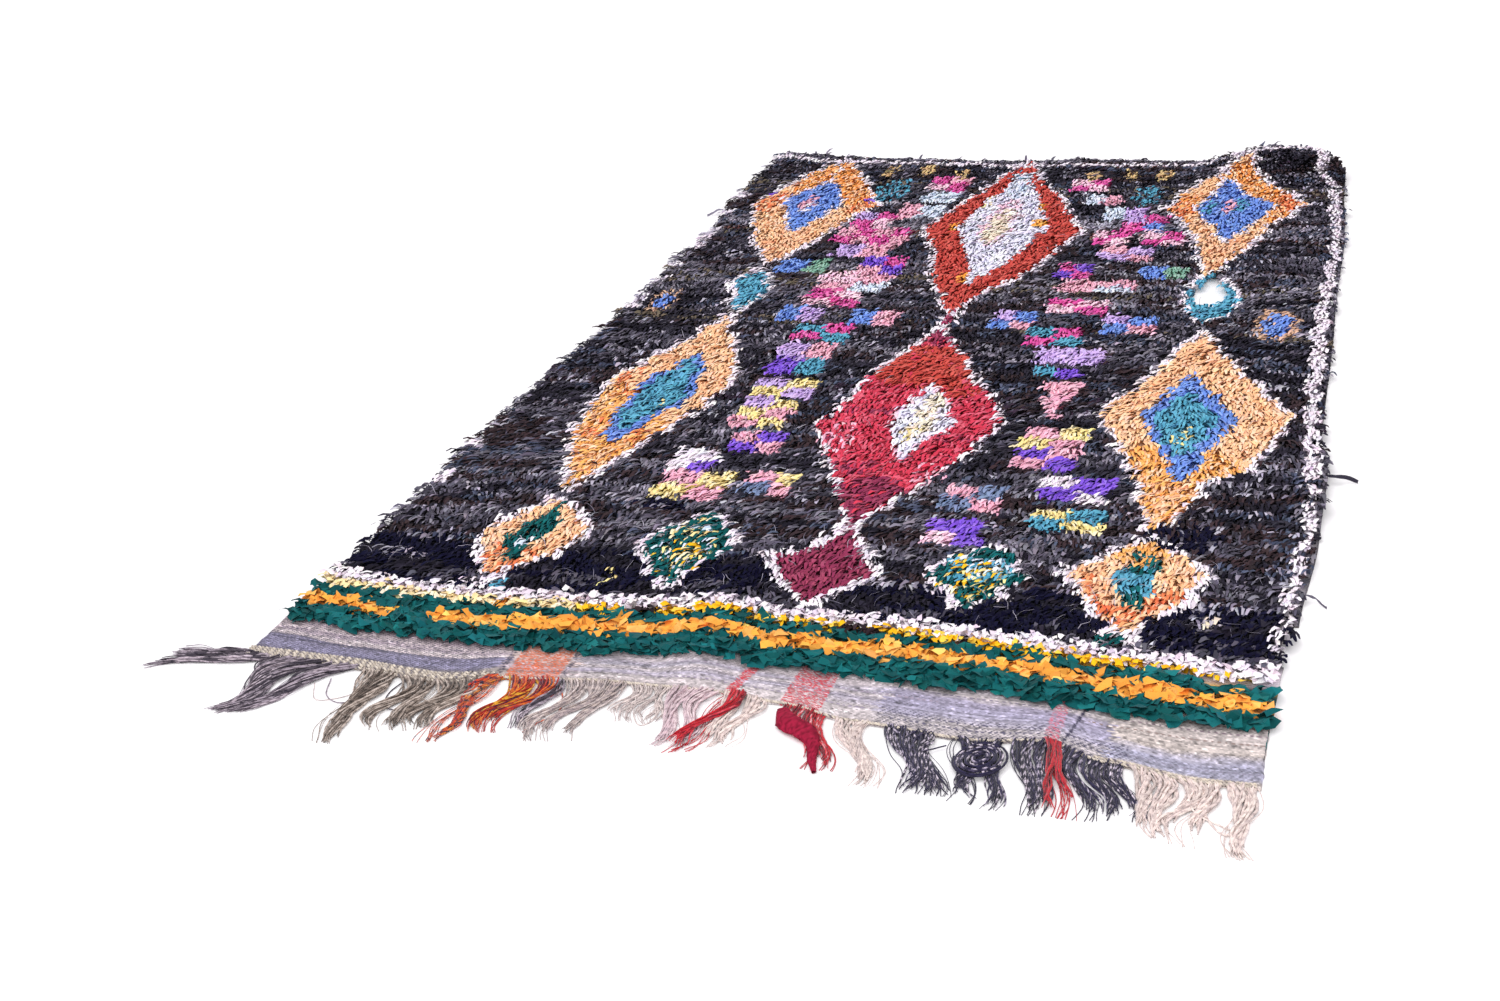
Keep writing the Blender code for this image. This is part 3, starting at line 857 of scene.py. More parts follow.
def inside_and_near(x, y, corners):
    """Whether each place lies inside a shape, and how far it is from the shape's edge."""
    inside = np.zeros(len(x), bool)
    near = np.full(len(x), 9.0)
    for (x0, y0), (x1, y1) in zip(corners, corners[1:] + corners[:1]):
        if y0 != y1:
            crossing = x0 + (y - y0) * (x1 - x0) / (y1 - y0)
            inside ^= ((y0 > y) != (y1 > y)) & (x < crossing)
        run = np.array((x1 - x0, y1 - y0))
        t = np.clip(((x - x0) * run[0] + (y - y0) * run[1]) / (run @ run), 0, 1)
        near = np.minimum(near, np.hypot(x - x0 - run[0] * t, y - y0 - run[1] * t))
    return inside, near


def stripe_height(x, above):
    """How far up the stripes a place counts: they run down towards the right end, the amber one most."""
    slip = STRIPE_SLIP * np.clip((x - SLIP_FROM) / SLIP_RUN, 0, 1)
    return above + slip * np.clip(1 - np.abs(above - SLIP_MIDDLE) / SLIP_REACH, 0, 1)


PAINT_NAMES = list(PAINTS)
KEPT_ON = {
    # paint of a patch: the paint that it may replace
    "tangerine": "orange",
    "apricot": "orange",
    "peach": "orange",
    "red_orange": "orange",
    "rust": "crimson",
    "rose": "crimson",
}


def ground_paint(x, y, rng):
    """The paint number of each rag end of the ground, in streaks along the rows."""
    paint = np.zeros(len(x), int)
    sway = y + BAND_SWAY * soft_noise(x, y, *BAND_WAVES)
    streak = patchy(x, y, *STREAKS)
    for low, high, name, other in BANDS:
        here = (sway >= low) & (sway < high)
        paint[here] = PAINT_NAMES.index(name)
        paint[here & streak] = PAINT_NAMES.index(other)
    for left, right_side, low, high, name in DARK_FIELDS:
        here = (x > left) & (x < right_side) & (sway > low) & (sway < high)
        paint[here & (rng.random(len(x)) < FIELD_SHARE)] = PAINT_NAMES.index(name)
    paint[patchy(x, y, *DARK_STREAKS)] = PAINT_NAMES.index("black")
    for name, share, *places in GREY_BITS:
        bits = patchy(x, y, *places) & (y > BITS_FROM) & (rng.random(len(x)) < share)
        paint[bits] = PAINT_NAMES.index(name)
    return paint


def chart(x, y, rng):
    """The colour of the rag ends that are seen at these places of the pile."""
    row = np.floor((y - pile_start(x)) / KNOT_ROWS)
    true_x, true_y = x, y
    x = x + KNOT_SLIP * soft_noise(x, row, *ROW_SLIPS)
    y = (1 - ROW_PULL) * y + ROW_PULL * (pile_start(x) + (row + 0.5) * KNOT_ROWS)
    paint = ground_paint(x, y, rng)

    def put(here, name):
        paint[here] = PAINT_NAMES.index(name)

    for left, right_side, low, high, *words in BRICKS:
        rows = " ".join(words).split("/")
        for row, names in enumerate(rows):
            names = names.split()
            top = high - (high - low) * row / len(rows)
            bottom = high - (high - low) * (row + 1) / len(rows)
            for place, name in enumerate(names):
                start = left + (right_side - left) * place / len(names)
                end = left + (right_side - left) * (place + 1) / len(names)
                put((x >= start) & (x < end) & (y >= bottom) & (y < top), name)
    for name, rim_name, rim, *corners in LOZENGES:
        inside, near = inside_and_near(x, y, list(zip(corners[::2], corners[1::2])))
        put(~inside & (near < rim * (RIM_EVEN + RIM_VARIES * soft_noise(x, y, *RIM_WAVES))), rim_name)
        put(inside, name)
    drawn = paint.copy()
    for name, middle_x, middle_y, half_x, half_y, share in PATCHES:
        out = ((x - middle_x) / half_x) ** 2 + ((y - middle_y) / half_y) ** 2
        here = (out < 1) & (rng.random(len(x)) < share)
        if name in KEPT_ON:
            here &= drawn == PAINT_NAMES.index(KEPT_ON[name])
        put(here, name)
    x, y = true_x, true_y
    wave = BORDER_WAVE[0] * np.abs((y / BORDER_WAVE[1]) % 2 - 1)
    border = np.abs(x - read(BORDER_LINE, y, 1) - wave) < BORDER_HALF
    border &= x < right_edge(y) - SELVEDGE
    put(border & patchy(x, y, *BORDER_WHITE), "white")
    left_bits = (x < left_edge(y) + LEFT_RIM) & patchy(x, y, *LEFT_BITS)
    put(left_bits, "mist")
    put(left_bits & (rng.random(len(x)) < LEFT_WHITE), "white")
    put(np.abs(y - read(END_LINE, x, 1)) < END_LINE_HALF, "white")
    above = stripe_height(x, y - pile_start(x))
    for low, high, name in STRIPES:
        put((above >= low) & (above < high), name)
    put((above >= YELLOW_LINE[0]) & (above < YELLOW_LINE[1]) & patchy(x, y, *LINE_GAPS), "brown")
    pale = (above >= PALE_LINE[0]) & (above < PALE_LINE[1]) & (x < PALE_UP_TO)
    put(pale, "pale_yellow")
    put(pale & patchy(x, y, *AMBER_BITS), "amber")
    colour = np.zeros((len(x), 3))
    for index in np.unique(paint):
        here = paint == index
        colour[here] = painted(PAINT_NAMES[index], here.sum(), rng)
    return colour * (1 + DYE_VARIES * soft_noise(x, y, *DYE_WAVES))[:, None]


print(len(LOZENGES), "lozenges", len(BRICKS), "bricks", len(PATCHES), "patches", len(BANDS), "bands")

# %% [markdown]
# Under the pile lies the ground cloth that the knots are tied on, a plain weave a few millimetres thick. It
# is made as a closed sheet that follows the folds, with the worn hole left open. Its underside shows plain
# wool at the curled corner. Its top takes the colours of the chart, as the knots wrap round the warp there,
# with a painted shade over them for the pile that covers it.

# %% Ground cloth
SHEET_THICK = 0.0024
SHEET_STEP = 0.016
SHEET_UP = 0.0004
SHEET_WIDE, SHEET_LONG = 1.5, 2.65
ROUGH_START, ROUGH_LONG = -0.1, 2.63
SIDE_INSET, END_INSET = 0.004, 0.002
HOLE_RAGGED, HOLE_TURN = 0.14, 1.4
HOLE_IN_CLOTH, HOLE_IN_PILE = 1.05, 1.12


def in_rounded_corner(x, y):
    """Whether a place lies inside the rounded far right corner, or anywhere else on the cloth."""
    middle_x = right_edge(y) - CORNER_ROUND
    middle_y = far_end(x) - CORNER_ROUND
    out = np.hypot(np.maximum(x - middle_x, 0), np.maximum(y - middle_y, 0))
    return out < CORNER_ROUND


def hole_reach(x, y):
    """How far a place is from the middle of the worn hole, where its frayed edge is 1."""
    across = (x - HOLE_CENTRE[0]) / HOLE_HALF[0]
    along = (y - HOLE_CENTRE[1]) / HOLE_HALF[1]
    around = np.arctan2(along, across)
    return np.hypot(across, along) / (1 + HOLE_RAGGED * np.cos(3 * around + HOLE_TURN))


def ground_cloth():
    columns, rows = int(SHEET_WIDE / SHEET_STEP), int(SHEET_LONG / SHEET_STEP)
    across = np.linspace(0, 1, columns + 1)[None, :]
    along = np.linspace(0, 1, rows + 1)[:, None]
    rough_y = ROUGH_START + ROUGH_LONG * along + 0 * across
    wide = right_edge(rough_y) - left_edge(rough_y) - 2 * SIDE_INSET
    x = left_edge(rough_y) + SIDE_INSET + wide * across
    y = weave_edge(x) + END_INSET + (far_end(x) - 2 * END_INSET - weave_edge(x)) * along
    keep = in_rounded_corner(x, y) & (hole_reach(x, y) > HOLE_IN_CLOTH)
    quads = keep[:-1, :-1] & keep[1:, :-1] & keep[:-1, 1:] & keep[1:, 1:]
    index = np.arange(x.size).reshape(x.shape)
    i, j = np.nonzero(quads)
    top = np.stack([index[i, j], index[i, j + 1], index[i + 1, j + 1], index[i + 1, j]], 1)
    base = np.stack([x, y, lift(x, y) + SHEET_UP], -1).reshape(-1, 3)
    upper = base + (0, 0, SHEET_THICK)
    sides = []
    edges = np.concatenate([top[:, [k, (k + 1) % 4]] for k in range(4)])
    code = np.sort(edges, 1) @ (x.size, 1)
    _unique, first, count = np.unique(code, return_index=True, return_counts=True)
    for a, b in edges[first[count == 1]]:
        sides.append((a, a + x.size, b + x.size, b))
    faces = np.concatenate([top, (top + x.size)[:, ::-1], np.array(sides)])
    points = np.concatenate([upper, base])
    used, compact = np.unique(faces, return_inverse=True)
    mesh = bpy.data.meshes.new("ground_cloth")
    mesh.from_pydata((points[used] + TO_FRAME).tolist(), [], compact.reshape(-1, 4).tolist())
    mesh.update()
    made = bpy.data.objects.new("ground_cloth", mesh)
    bpy.context.scene.collection.objects.link(made)
    area = len(top) * SHEET_STEP * SHEET_STEP
    return made, area


WARP_PITCH = 0.005
WEFT_PITCH = 0.0026
# KNOT_SHADE darkens the chart colours on the cloth's top, a painted shade for the pile that covers it
KNOT_SHADE = 0.8


def cloth_finish():
    """Undyed and grey wool in plain weave."""
    made, shader, start = new_finish("ground_weave", Sheen_Weight=0.2, Specular_IOR_Level=0.2)
    place = start.node("ShaderNodeTexCoord", output="Object")
    x, y, _z = split(place)
    over = (x * (math.tau / 2 / WARP_PITCH)).sine() * (y * (math.tau / 2 / WEFT_PITCH)).sine()
    blotch = fine_noise(place, 9.0, 4.0)
    fuzz = fine_noise(place, 700.0, 2.0)
    dark = (*linear("#3a3538"), 1)
    pale = (*linear("#7c7470"), 1)
    wool = mixed("MIX", (blotch * 1.6 - 0.35 + over * 0.15).clipped(), dark, pale)
    knots = start.node("ShaderNodeAttribute", {"attribute_name": "knots"})
    facing = start.node("ShaderNodeNewGeometry", output="Normal")
    upright = split(facing)[2]
    cloth = mixed("MIX", (upright * 4.0).clipped(), wool, knots)
    feed(shader, "Base Color", mixed("MULTIPLY", 1.0, cloth, grey(0.7 + fuzz * 0.6)))
    feed(shader, "Roughness", 0.85 + fuzz * 0.15)
    feed(shader, "Normal", bumped(over + fuzz * 0.5, 0.6, 0.0008))
    return made


cloth, cloth_area = ground_cloth()
knots = np.array([vertex.co for vertex in cloth.data.vertices]) - TO_FRAME
dye_and_shade = np.ones((len(knots), 4))
# painted shade: the chart colours on the cloth are darkened by KNOT_SHADE under the pile
dye_and_shade[:, :3] = chart(knots[:, 0], knots[:, 1], np.random.default_rng(SEED + 5)) * KNOT_SHADE
cloth.data.color_attributes.new("knots", "FLOAT_COLOR", "POINT").data.foreach_set("color", dye_and_shade.ravel())
dress(cloth, "rug_body", cloth_finish())
print("cloth", round(cloth_area, 3), "square metres")

# %% [markdown]
# A rag end stands up from its knot, bends over and lies towards the near end, as the weaver combed it.
# Three lengths of a flat ribbon give that bend, each with its own twist, so the light catches each one
# otherwise. The pile would also work as hair, but ribbons keep their torn width and survive the export.

# %% How one field of rag ends is shaped
ROW_STEP = 0.0105
TUFT_STEP = 0.0040
KNOT_UP, LINE_UP, RAG_UP = 0.002, 0.003, 0.0022
FOLD_SHARES = (0.38, 0.34, 0.28)
ROLL_FIRST, ROLL_MORE = 0.13, 0.12
CRUMPLE = 0.09


def shape_rags(
    root_x, root_y, length, width, heading, rng,
    rise=(54, 16, -10), loose=6, folds=3, columns=2, tip=0.35
):
    """Points of rag ends: strips x (folds + 1) x columns x 3, and where each is seen."""
    count = len(root_x)
    here = np.stack([root_x, root_y, lift(root_x, root_y) + KNOT_UP], -1)
    line = [here]
    angle_noise = rng.normal(0, loose, (count, folds))
    turn_noise = np.cumsum(rng.normal(0, loose, (count, folds)), 1)
    rises = np.interp(np.linspace(0, 2, folds), (0, 1, 2), rise)
    headings = []
    for fold in range(folds):
        climb = np.radians(rises[fold] + angle_noise[:, fold])
        way = np.radians(turn_noise[:, fold]) + heading
        headings.append(way)
        flat = np.cos(climb)
        step = np.stack([np.sin(way) * flat, -np.cos(way) * flat, np.sin(climb)], -1)
        share = FOLD_SHARES[fold] if folds == len(FOLD_SHARES) else 1 / folds
        here = here + step * (length * share)[:, None]
        here[:, 2] = np.maximum(here[:, 2], lift(here[:, 0], here[:, 1]) + LINE_UP)
        line.append(here)
    line = np.stack(line, 1)
    headings = np.stack([headings[0], *headings], 1)
    roll = rng.normal(0, ROLL_FIRST, count)[:, None]
    roll = roll + np.cumsum(rng.normal(0, ROLL_MORE, (count, folds + 1)), 1)
    taper = np.interp(np.linspace(0, 1, folds + 1), (0, 0.4, 1), (0.85, 1.0, tip))
    half = width[:, None] / 2 * taper * rng.uniform(0.75, 1.2, (count, folds + 1))
    side = np.stack([np.cos(headings) * np.cos(roll), np.sin(headings) * np.cos(roll), np.sin(roll)], -1)
    out = np.linspace(-1, 1, columns)[None, None, :, None]
    points = line[:, :, None, :] + side[:, :, None, :] * half[:, :, None, None] * out
    if columns > 2:
        points = points + rng.normal(0, 1, points.shape) * (width * CRUMPLE)[:, None, None, None]
    floor = lift(points[..., 0], points[..., 1]) + RAG_UP
    points[..., 2] = np.maximum(points[..., 2], floor)
    return points, line[:, 1:].mean(1)


def shade_rags(colour, rows, columns, rng, spread=0.05, root=0.96):
    """A colour for each point of the rag ends, with painted shade at the root and a touch of painted light
    at the tip, varied from end to end.
    """
    bright = np.exp(rng.normal(0, spread, (len(colour), 1, 1, 1)))
    tint = 1 + rng.normal(0, 0.03, (len(colour), 1, 1, 3))
    # painted shade: the root is darkened to root, where the pile shades it, and the tip is lightened a
    # little
    painted_root_shade = np.interp(np.linspace(0, 1, rows), (0, 0.35, 1), (root, 1.0, 1.04))[None, :, None, None]
    return np.clip(colour[:, None, None, :] * bright * tint * painted_root_shade * np.ones((1, 1, columns, 1)), 0, 1)


# %% [markdown]
# The knots sit in rows a centimetre apart, one every four millimetres. Near a side the ends lean out past
# the edge and are cut raggedly. Ends are dropped where the stripes, the hole or the rounded corner leave no
# room for them.

# %% Pile
STRIPE_TOP = 0.149
RIM = 0.030
RIM_INSET = 0.006
LOOM_HALF = 0.78
ROW_WAVE, ROW_WAVES, ROW_JITTER = 0.0035, (0.09, 0.05, 12), 0.0022
LEAN, LEAN_VARIES, LEAN_AT_SIDE = -14, 6, 22
LENGTHS, WIDTHS = (0.026, 0.038), (0.0054, 0.0094)


def pile_places(rng):
    loom = np.arange(-LOOM_HALF, LOOM_HALF, TUFT_STEP)
    along, across = np.meshgrid(np.arange(0, PILE_LENGTH, ROW_STEP), loom)
    across = across + rng.uniform(-0.5, 0.5, across.shape) * TUFT_STEP
    wave = ROW_WAVE * soft_noise(across, along, *ROW_WAVES)
    along = along + rng.normal(0, ROW_JITTER, along.shape) + wave
    x, y = across.ravel(), along.ravel()
    y = pile_start(x) + (far_end(x) - pile_start(x)) * y / PILE_LENGTH
    keep = (x > left_edge(y) + RIM_INSET) & (x < right_edge(y) - RIM_INSET) & (y < far_end(x) - 0.005)
    keep &= y - pile_start(x) > STRIPE_TOP
    keep &= in_rounded_corner(x + 0.004, y + 0.004) & (hole_reach(x, y) > HOLE_IN_PILE)
    return x[keep], y[keep]


def pile_heading(x, y, rng):
    """The way that each end leans: 0 is towards the near end, and a quarter turn is to the right."""
    sway = 24 * soft_noise(x, y, 0.20, 0.16, 13) + 34 * soft_noise(x, y, 0.024, 0.017, 33)
    heading = np.radians(LEAN + sway + rng.normal(0, LEAN_VARIES, len(x)))
    at_left = np.clip(1 - (x - left_edge(y)) / RIM, 0, 1)
    at_right = np.clip(1 - (right_edge(y) - x) / RIM, 0, 1)
    at_end = np.clip(1 - (far_end(x) - y) / RIM, 0, 1)
    heading += np.radians(LEAN_AT_SIDE) * (at_right - at_left)
    heading = np.where((at_end > 0.4) & (rng.random(len(x)) < 0.06), heading + np.pi, heading)
    return heading


rng = np.random.default_rng(SEED)
tuft_x, tuft_y = pile_places(rng)
crown = 1 + 0.14 * soft_noise(tuft_x, tuft_y, 0.11, 0.11, 14)
crown = crown + 0.20 * soft_noise(tuft_x, tuft_y, 0.026, 0.018, 15)
to_side = np.minimum(tuft_x - left_edge(tuft_y), right_edge(tuft_y) - tuft_x)
to_side = np.minimum(to_side, far_end(tuft_x) - tuft_y)
at_rim = np.clip(1 - to_side / RIM, 0, 1)
ragged_rim = 1 - at_rim * (0.30 - 0.55 * soft_noise(tuft_x, tuft_y, 0.034, 0.021, 42))
length = rng.uniform(*LENGTHS, len(tuft_x)) * crown * ragged_rim
width = rng.uniform(*WIDTHS, len(tuft_x))
points, seen = shape_rags(tuft_x, tuft_y, length, width, pile_heading(tuft_x, tuft_y, rng), rng)
ragged = rng.normal(0, 0.0026, (len(tuft_x), 2))
colours = shade_rags(chart(seen[:, 0] + ragged[:, 0], seen[:, 1] + ragged[:, 1], rng), 4, 2, rng)
PILE_PARTS = table(
    """
    pile_near 0.0 0.76;
    pile_lower 0.76 1.36;
    pile_upper 1.36 1.96;
    pile_far 1.96 3.0
    """
)
for name, low, high in PILE_PARTS:
    here = (tuft_y >= low) & (tuft_y < high)
    piece = strips_object(name, points[here], {"rag": colours[here]})
    dress(piece, "rug_body", soft_rag)
print(len(tuft_x), "rag ends, highest", round(float(points[..., 2].max()), 4))

# %% [markdown]
# The stripes at the near end are of crisper cloth in green and amber, torn wider, and they stand in folded,
# pointed scraps. These are ribbons three points wide, crumpled point by point and shaded flat, so that
# their creases stay sharp.

# %% Stripes of wide rags
STRIPE_ROWS = (0.002, 0.010, 0.020, 0.031, 0.041, 0.051, 0.060, 0.069, 0.078, 0.088, 0.098)
AMBER_ROOTS = (0.046, 0.083)
GREEN_TOP = 0.101
STRIPE_STEP = 0.0092
CROSSING = (-0.555, 0.028)
AMBER_FROM, AMBER_LEFT_TOP = -0.35, 0.075
STRIPE_LENGTHS, STRIPE_WIDTHS = (0.024, 0.036), (0.016, 0.032)
FLUFFY_WIDTHS = (0.007, 0.013)
STRIPE_ENDS = (-0.738, 0.722)
FLUFFY_ROWS = (0.108, 0.115, 0.123, 0.132, 0.141, 0.149)
FLUFFY_STEP = 0.0060


def row_places(rows, step, rng):
    """Places along a number of rows that follow the start of the pile."""
    across = np.arange(*STRIPE_ENDS, step)
    x = np.tile(across, len(rows)) + rng.uniform(-0.5, 0.5, len(across) * len(rows)) * step
    above = np.repeat(rows, len(across))
    sway = 0.004 * soft_noise(x, above, 0.06, 0.02, 17) + rng.normal(0, 0.0018, len(x))
    held_back = 0.006 * np.clip((-0.2 - x) / 0.2, 0, 1) * np.clip(1 - above / 0.03, 0, 1)
    return x, pile_start(x) + above + sway + held_back


def rim_lean(x):
    """How far the ends at the two sides turn outwards."""
    return np.radians(25) * (np.clip((x - 0.69) / 0.03, 0, 1) - np.clip((-0.71 - x) / 0.03, 0, 1))


rng = np.random.default_rng(SEED + 1)
rag_x, rag_y = row_places(STRIPE_ROWS, STRIPE_STEP, rng)
rag_above = stripe_height(rag_x, np.repeat(STRIPE_ROWS, len(rag_x) // len(STRIPE_ROWS)))
below_line = rag_above < GREEN_TOP
rag_x, rag_y, rag_above = rag_x[below_line], rag_y[below_line], rag_above[below_line]
amber = (rag_above > AMBER_ROOTS[0]) & (rag_above < AMBER_ROOTS[1])
amber &= (np.abs(rag_x - CROSSING[0]) > CROSSING[1]) & ((rag_x > AMBER_FROM) | (rag_above < AMBER_LEFT_TOP))
amber_colour = painted("amber", len(rag_x), rng)
rag_colour = np.where(amber[:, None], amber_colour, painted("green", len(rag_x), rng))
length = rng.uniform(*STRIPE_LENGTHS, len(rag_x))
width = rng.uniform(*STRIPE_WIDTHS, len(rag_x))
heading = np.radians(12 + 34 * soft_noise(rag_x, rag_y, 0.035, 0.03, 18) + rng.normal(0, 9, len(rag_x)))
heading = heading + rim_lean(rag_x)
bends = {"rise": (60, 24, -14), "loose": 13, "folds": 4, "columns": 3, "tip": 0.8}
points, seen = shape_rags(rag_x, rag_y, length, width, heading, rng, **bends)
# painted shade: the roots of the wide rags are darkened to half their colour
colours = shade_rags(rag_colour, 5, 3, rng, spread=0.15, root=0.5)
stripes = strips_object("wide_stripes", points, {"rag": colours}, smooth=False)
dress(stripes, "rug_body", crisp_rag)

fluffy_x, fluffy_y = row_places(FLUFFY_ROWS, FLUFFY_STEP, rng)
length = rng.uniform(*STRIPE_LENGTHS, len(fluffy_x))
width = rng.uniform(*FLUFFY_WIDTHS, len(fluffy_x))
sway = 24 * soft_noise(fluffy_x, fluffy_y, 0.04, 0.02, 19)
heading = np.radians(-6 + sway + rng.normal(0, 18, len(fluffy_x))) + rim_lean(fluffy_x)
bends = {"rise": (60, 30, -8), "loose": 14, "columns": 3, "tip": 0.7}
points, seen = shape_rags(fluffy_x, fluffy_y, length, width, heading, rng, **bends)
# painted shade: the roots of the fluffy rags are darkened
colours = shade_rags(chart(seen[:, 0], fluffy_y - 0.012, rng), 4, 3, rng, root=0.6)
fluffy = strips_object("fluffy_stripes", points, {"rag": colours})
dress(fluffy, "rug_body", soft_rag)

# %% [markdown]
# The near end is woven flat, with the weft beaten down over the warp in fine ribs. It carries faint bands
# of pink, grey and blue, and red and orange warps that cross them as checked bars. The ribs are relief,
# and each point of the mesh takes the colour of the thread that lies there.

# %% Flat weave
WEAVE_COLUMNS = 590
WEAVE_ROWS = 128
RIB = 0.0027
RIB_HEIGHT = 0.0006
WEFT_ROWS = 46
WEAVE_MIDDLE = -0.06
WEAVE_WIDE, WEAVE_LONG, WEAVE_RIM = 1.48, 0.12, 0.002
STITCH_CELLS = (64, 512)
LEFT_PART = -0.36
DIM, LIT, WASHED = 0.62, 1.16, 0.90
SLANT_LONG, SLANT_STEP = 0.0078, 0.31
# from x, to x, then by turns a share of the way down from the pile and the colour there
WEAVE_BANDS = table(
    """
    -0.8 -0.345 0.0 #cfb9bf 0.12 #b09ba6 0.22 #d8c8cb 0.32 #a898a4 0.38 #dccfd1 0.44 #d5c6ca 0.47 #5f5b6e
        0.5 #8c86a0 0.7 #948fae 0.8 #8c869c 0.84 #c6bab4 1.0 #b9ada6;
    -0.345 -0.24 0.0 #d8c2bd 0.5 #cdb8b4 0.7 #bcacb6 1.0 #d4c4ba;
    -0.24 0.22 0.0 #d0c3c7 0.12 #dacfd3 0.3 #cfc3c8 0.42 #b8b2c2 0.5 #d8cdd0 0.62 #b8b0c2 0.74 #d4cacc 1.0
        #cbbfc0;
    0.22 0.535 0.0 #d2c8cb 0.18 #c6bdc6 0.3 #d2c7c8 0.4 #aea6be 0.55 #aca6c0 0.68 #b6b0c6 0.78 #c8bfc2 1.0
        #c0b6b6;
    0.535 0.8 0.0 #ccc0c0 0.2 #d4c8c6 0.55 #d0c4be 0.63 #c0bac8 0.72 #aeacc4 0.84 #b2b0c6 0.9 #d2c6c2 1.0
        #cbbfb8
    """
)
# from x, to x, colour, share of the threads that show it, its shift from the pile to the edge
WARP_BARS = table(
    """
    -0.335 -0.255 #d9683a 0.55 0.004;
    -0.35 -0.342 #34304a 0.45 0.004;
    -0.254 -0.247 #34304a 0.5 0.006;
    0.018 0.034 #cf3644 0.62 -0.024;
    0.086 0.145 #cc3d4c 0.5 -0.004;
    0.45 0.47 #d4637a 0.35 0.0;
    0.495 0.499 #34304a 0.85 -0.024
    """
)
# row of the weft, from x, to x, colour, share of each stitch that shows
STITCH_ROWS = table(
    """
    6 0.54 0.74 #8d6f66 0.55;
    11 0.54 0.74 #8a7480 0.45;
    17 0.5 0.74 #96827c 0.5;
    24 -0.76 -0.56 #4c4860 0.8;
    14 -0.76 -0.4 #857686 0.5;
    9 -0.2 0.1 #9c8c9a 0.45;
    19 -0.22 0.3 #a294a6 0.5;
    12 0.22 0.5 #8c8296 0.5;
    33 0.24 0.56 #5a5470 0.4;
    38 0.24 0.56 #5a5470 0.5;
    33 -0.24 0.2 #9a8ea4 0.5;
    37 0.54 0.74 #8f8a9e 0.5
    """
)


def weave_colour(x, down, rng):
    """The colour of the thread on top at each place of the flat weave."""
    colour = np.zeros((*x.shape, 3))
    true_x, true_down = x, down
    x = x + 0.016 * soft_noise(x, np.floor(down * WEFT_ROWS), 0.2, 1.0, 28)
    down = down + 0.08 * soft_noise(x, down, 0.12, 0.3, 29) + 0.03 * soft_noise(x, down, 0.02, 0.05, 35)
    for low, high, *stops in WEAVE_BANDS:
        here = (x >= low) & (x < high)
        shades = np.array([linear(code) for code in stops[1::2]])
        for channel in range(3):
            shade = np.interp(down, stops[::2], shades[:, channel])
            colour[..., channel] = np.where(here, shade, colour[..., channel])
    x, down = true_x, true_down
    row = np.floor(down * WEFT_ROWS)
    thread = soft_noise(x, row, 0.5, 0.9, 21)
    colour *= (1 + 0.13 * thread)[..., None]
    slant = (x / SLANT_LONG + row * SLANT_STEP) % 1
    patch = soft_noise(x, row, 0.22, 3.0, 23)
    at_left = x < LEFT_PART
    colour[(slant < 0.36) & ((patch > 0.0) | at_left)] *= DIM
    colour[(slant > 0.66) & ((patch < 0.1) | at_left)] *= LIT
    for seed, long, tall in ((36, 0.0042, 1), (37, 0.0062, 2)):
        level = np.floor(row / tall).astype(int)
        stitch = np.floor(x / long + level * 0.37).astype(int)
        cell = (level % STITCH_CELLS[0], stitch % STITCH_CELLS[1])
        shades = np.random.default_rng(seed).normal(0, 0.16, STITCH_CELLS)
        colour *= np.exp(shades[cell])[..., None]
        specks = np.random.default_rng(seed + 2).random(STITCH_CELLS)[cell] < 0.05
        colour[specks] *= 0.55
    colour *= WASHED
    for at_row, low, high, code, share in STITCH_ROWS:
        sewn = (row == at_row) & (x > low) & (x < high) & ((x / 0.009 + at_row * 0.4) % 1 < share)
        colour[sewn] = linear(code)
    flecks = rng.random(x.shape)
    speckled = ((x > 0.22) & (x < 0.56) & (down > 0.66)) | at_left
    navy = speckled & (slant < 0.36) & (flecks < 0.55)
    colour[navy] = linear("#3f3d55")
    dark_rows = (soft_noise(row, row, 1.0, 1.0, 26) > 0.66) & (soft_noise(x, row, 0.3, 1.0, 27) > -0.1)
    colour[dark_rows] *= 0.72
    colour *= (1 + rng.normal(0, 0.07, x.shape))[..., None]
    for low, high, code, share, slip in WARP_BARS:
        at = x - slip * down
        here = (at >= low) & (at < high)
        check = rng.random(x.shape) < share
        colour[here & check] = linear(code) * (1 + rng.normal(0, 0.12, ((here & check).sum(), 1)))
    return np.clip(colour, 0, 1)


def flat_weave(rng):
    share = np.linspace(0, 1, WEAVE_ROWS + 1)[:, None]
    across = np.linspace(0, 1, WEAVE_COLUMNS + 1)[None, :]
    left, right_side = left_edge(WEAVE_MIDDLE), right_edge(WEAVE_MIDDLE)
    x = left + 0.001 + (right_side - left - 0.002) * across + 0 * share
    top, edge = pile_start(x) + 0.010, weave_edge(x) + 0.001
    y = top + (edge - top) * share
    x = x + 0.0015 * soft_noise(x, y, 0.3, 0.012, 24)
    rib = np.sin(math.pi * (top - y) / RIB) ** 2
    over = np.sin(math.pi * x / WARP_PITCH + math.pi * np.floor((top - y) / RIB))
    relief = RIB_HEIGHT * rib * (0.75 + 0.25 * over) + 0.0005 * soft_noise(x, y, 0.05, 0.02, 25)
    rim = np.minimum(np.minimum(across, 1 - across) * WEAVE_WIDE / WEAVE_RIM, 1)
    rim = rim * np.minimum((1 - share) * WEAVE_LONG / WEAVE_RIM, 1)
    z = lift(x, y) + 0.0008 + (WEAVE_THICK - 0.0012 + relief) * rim
    points = np.stack([x, y, z], -1)[None]
    colour = weave_colour(x, share + 0 * x, rng)[None]
    return strips_object("flat_weave", points, {"thread": colour})


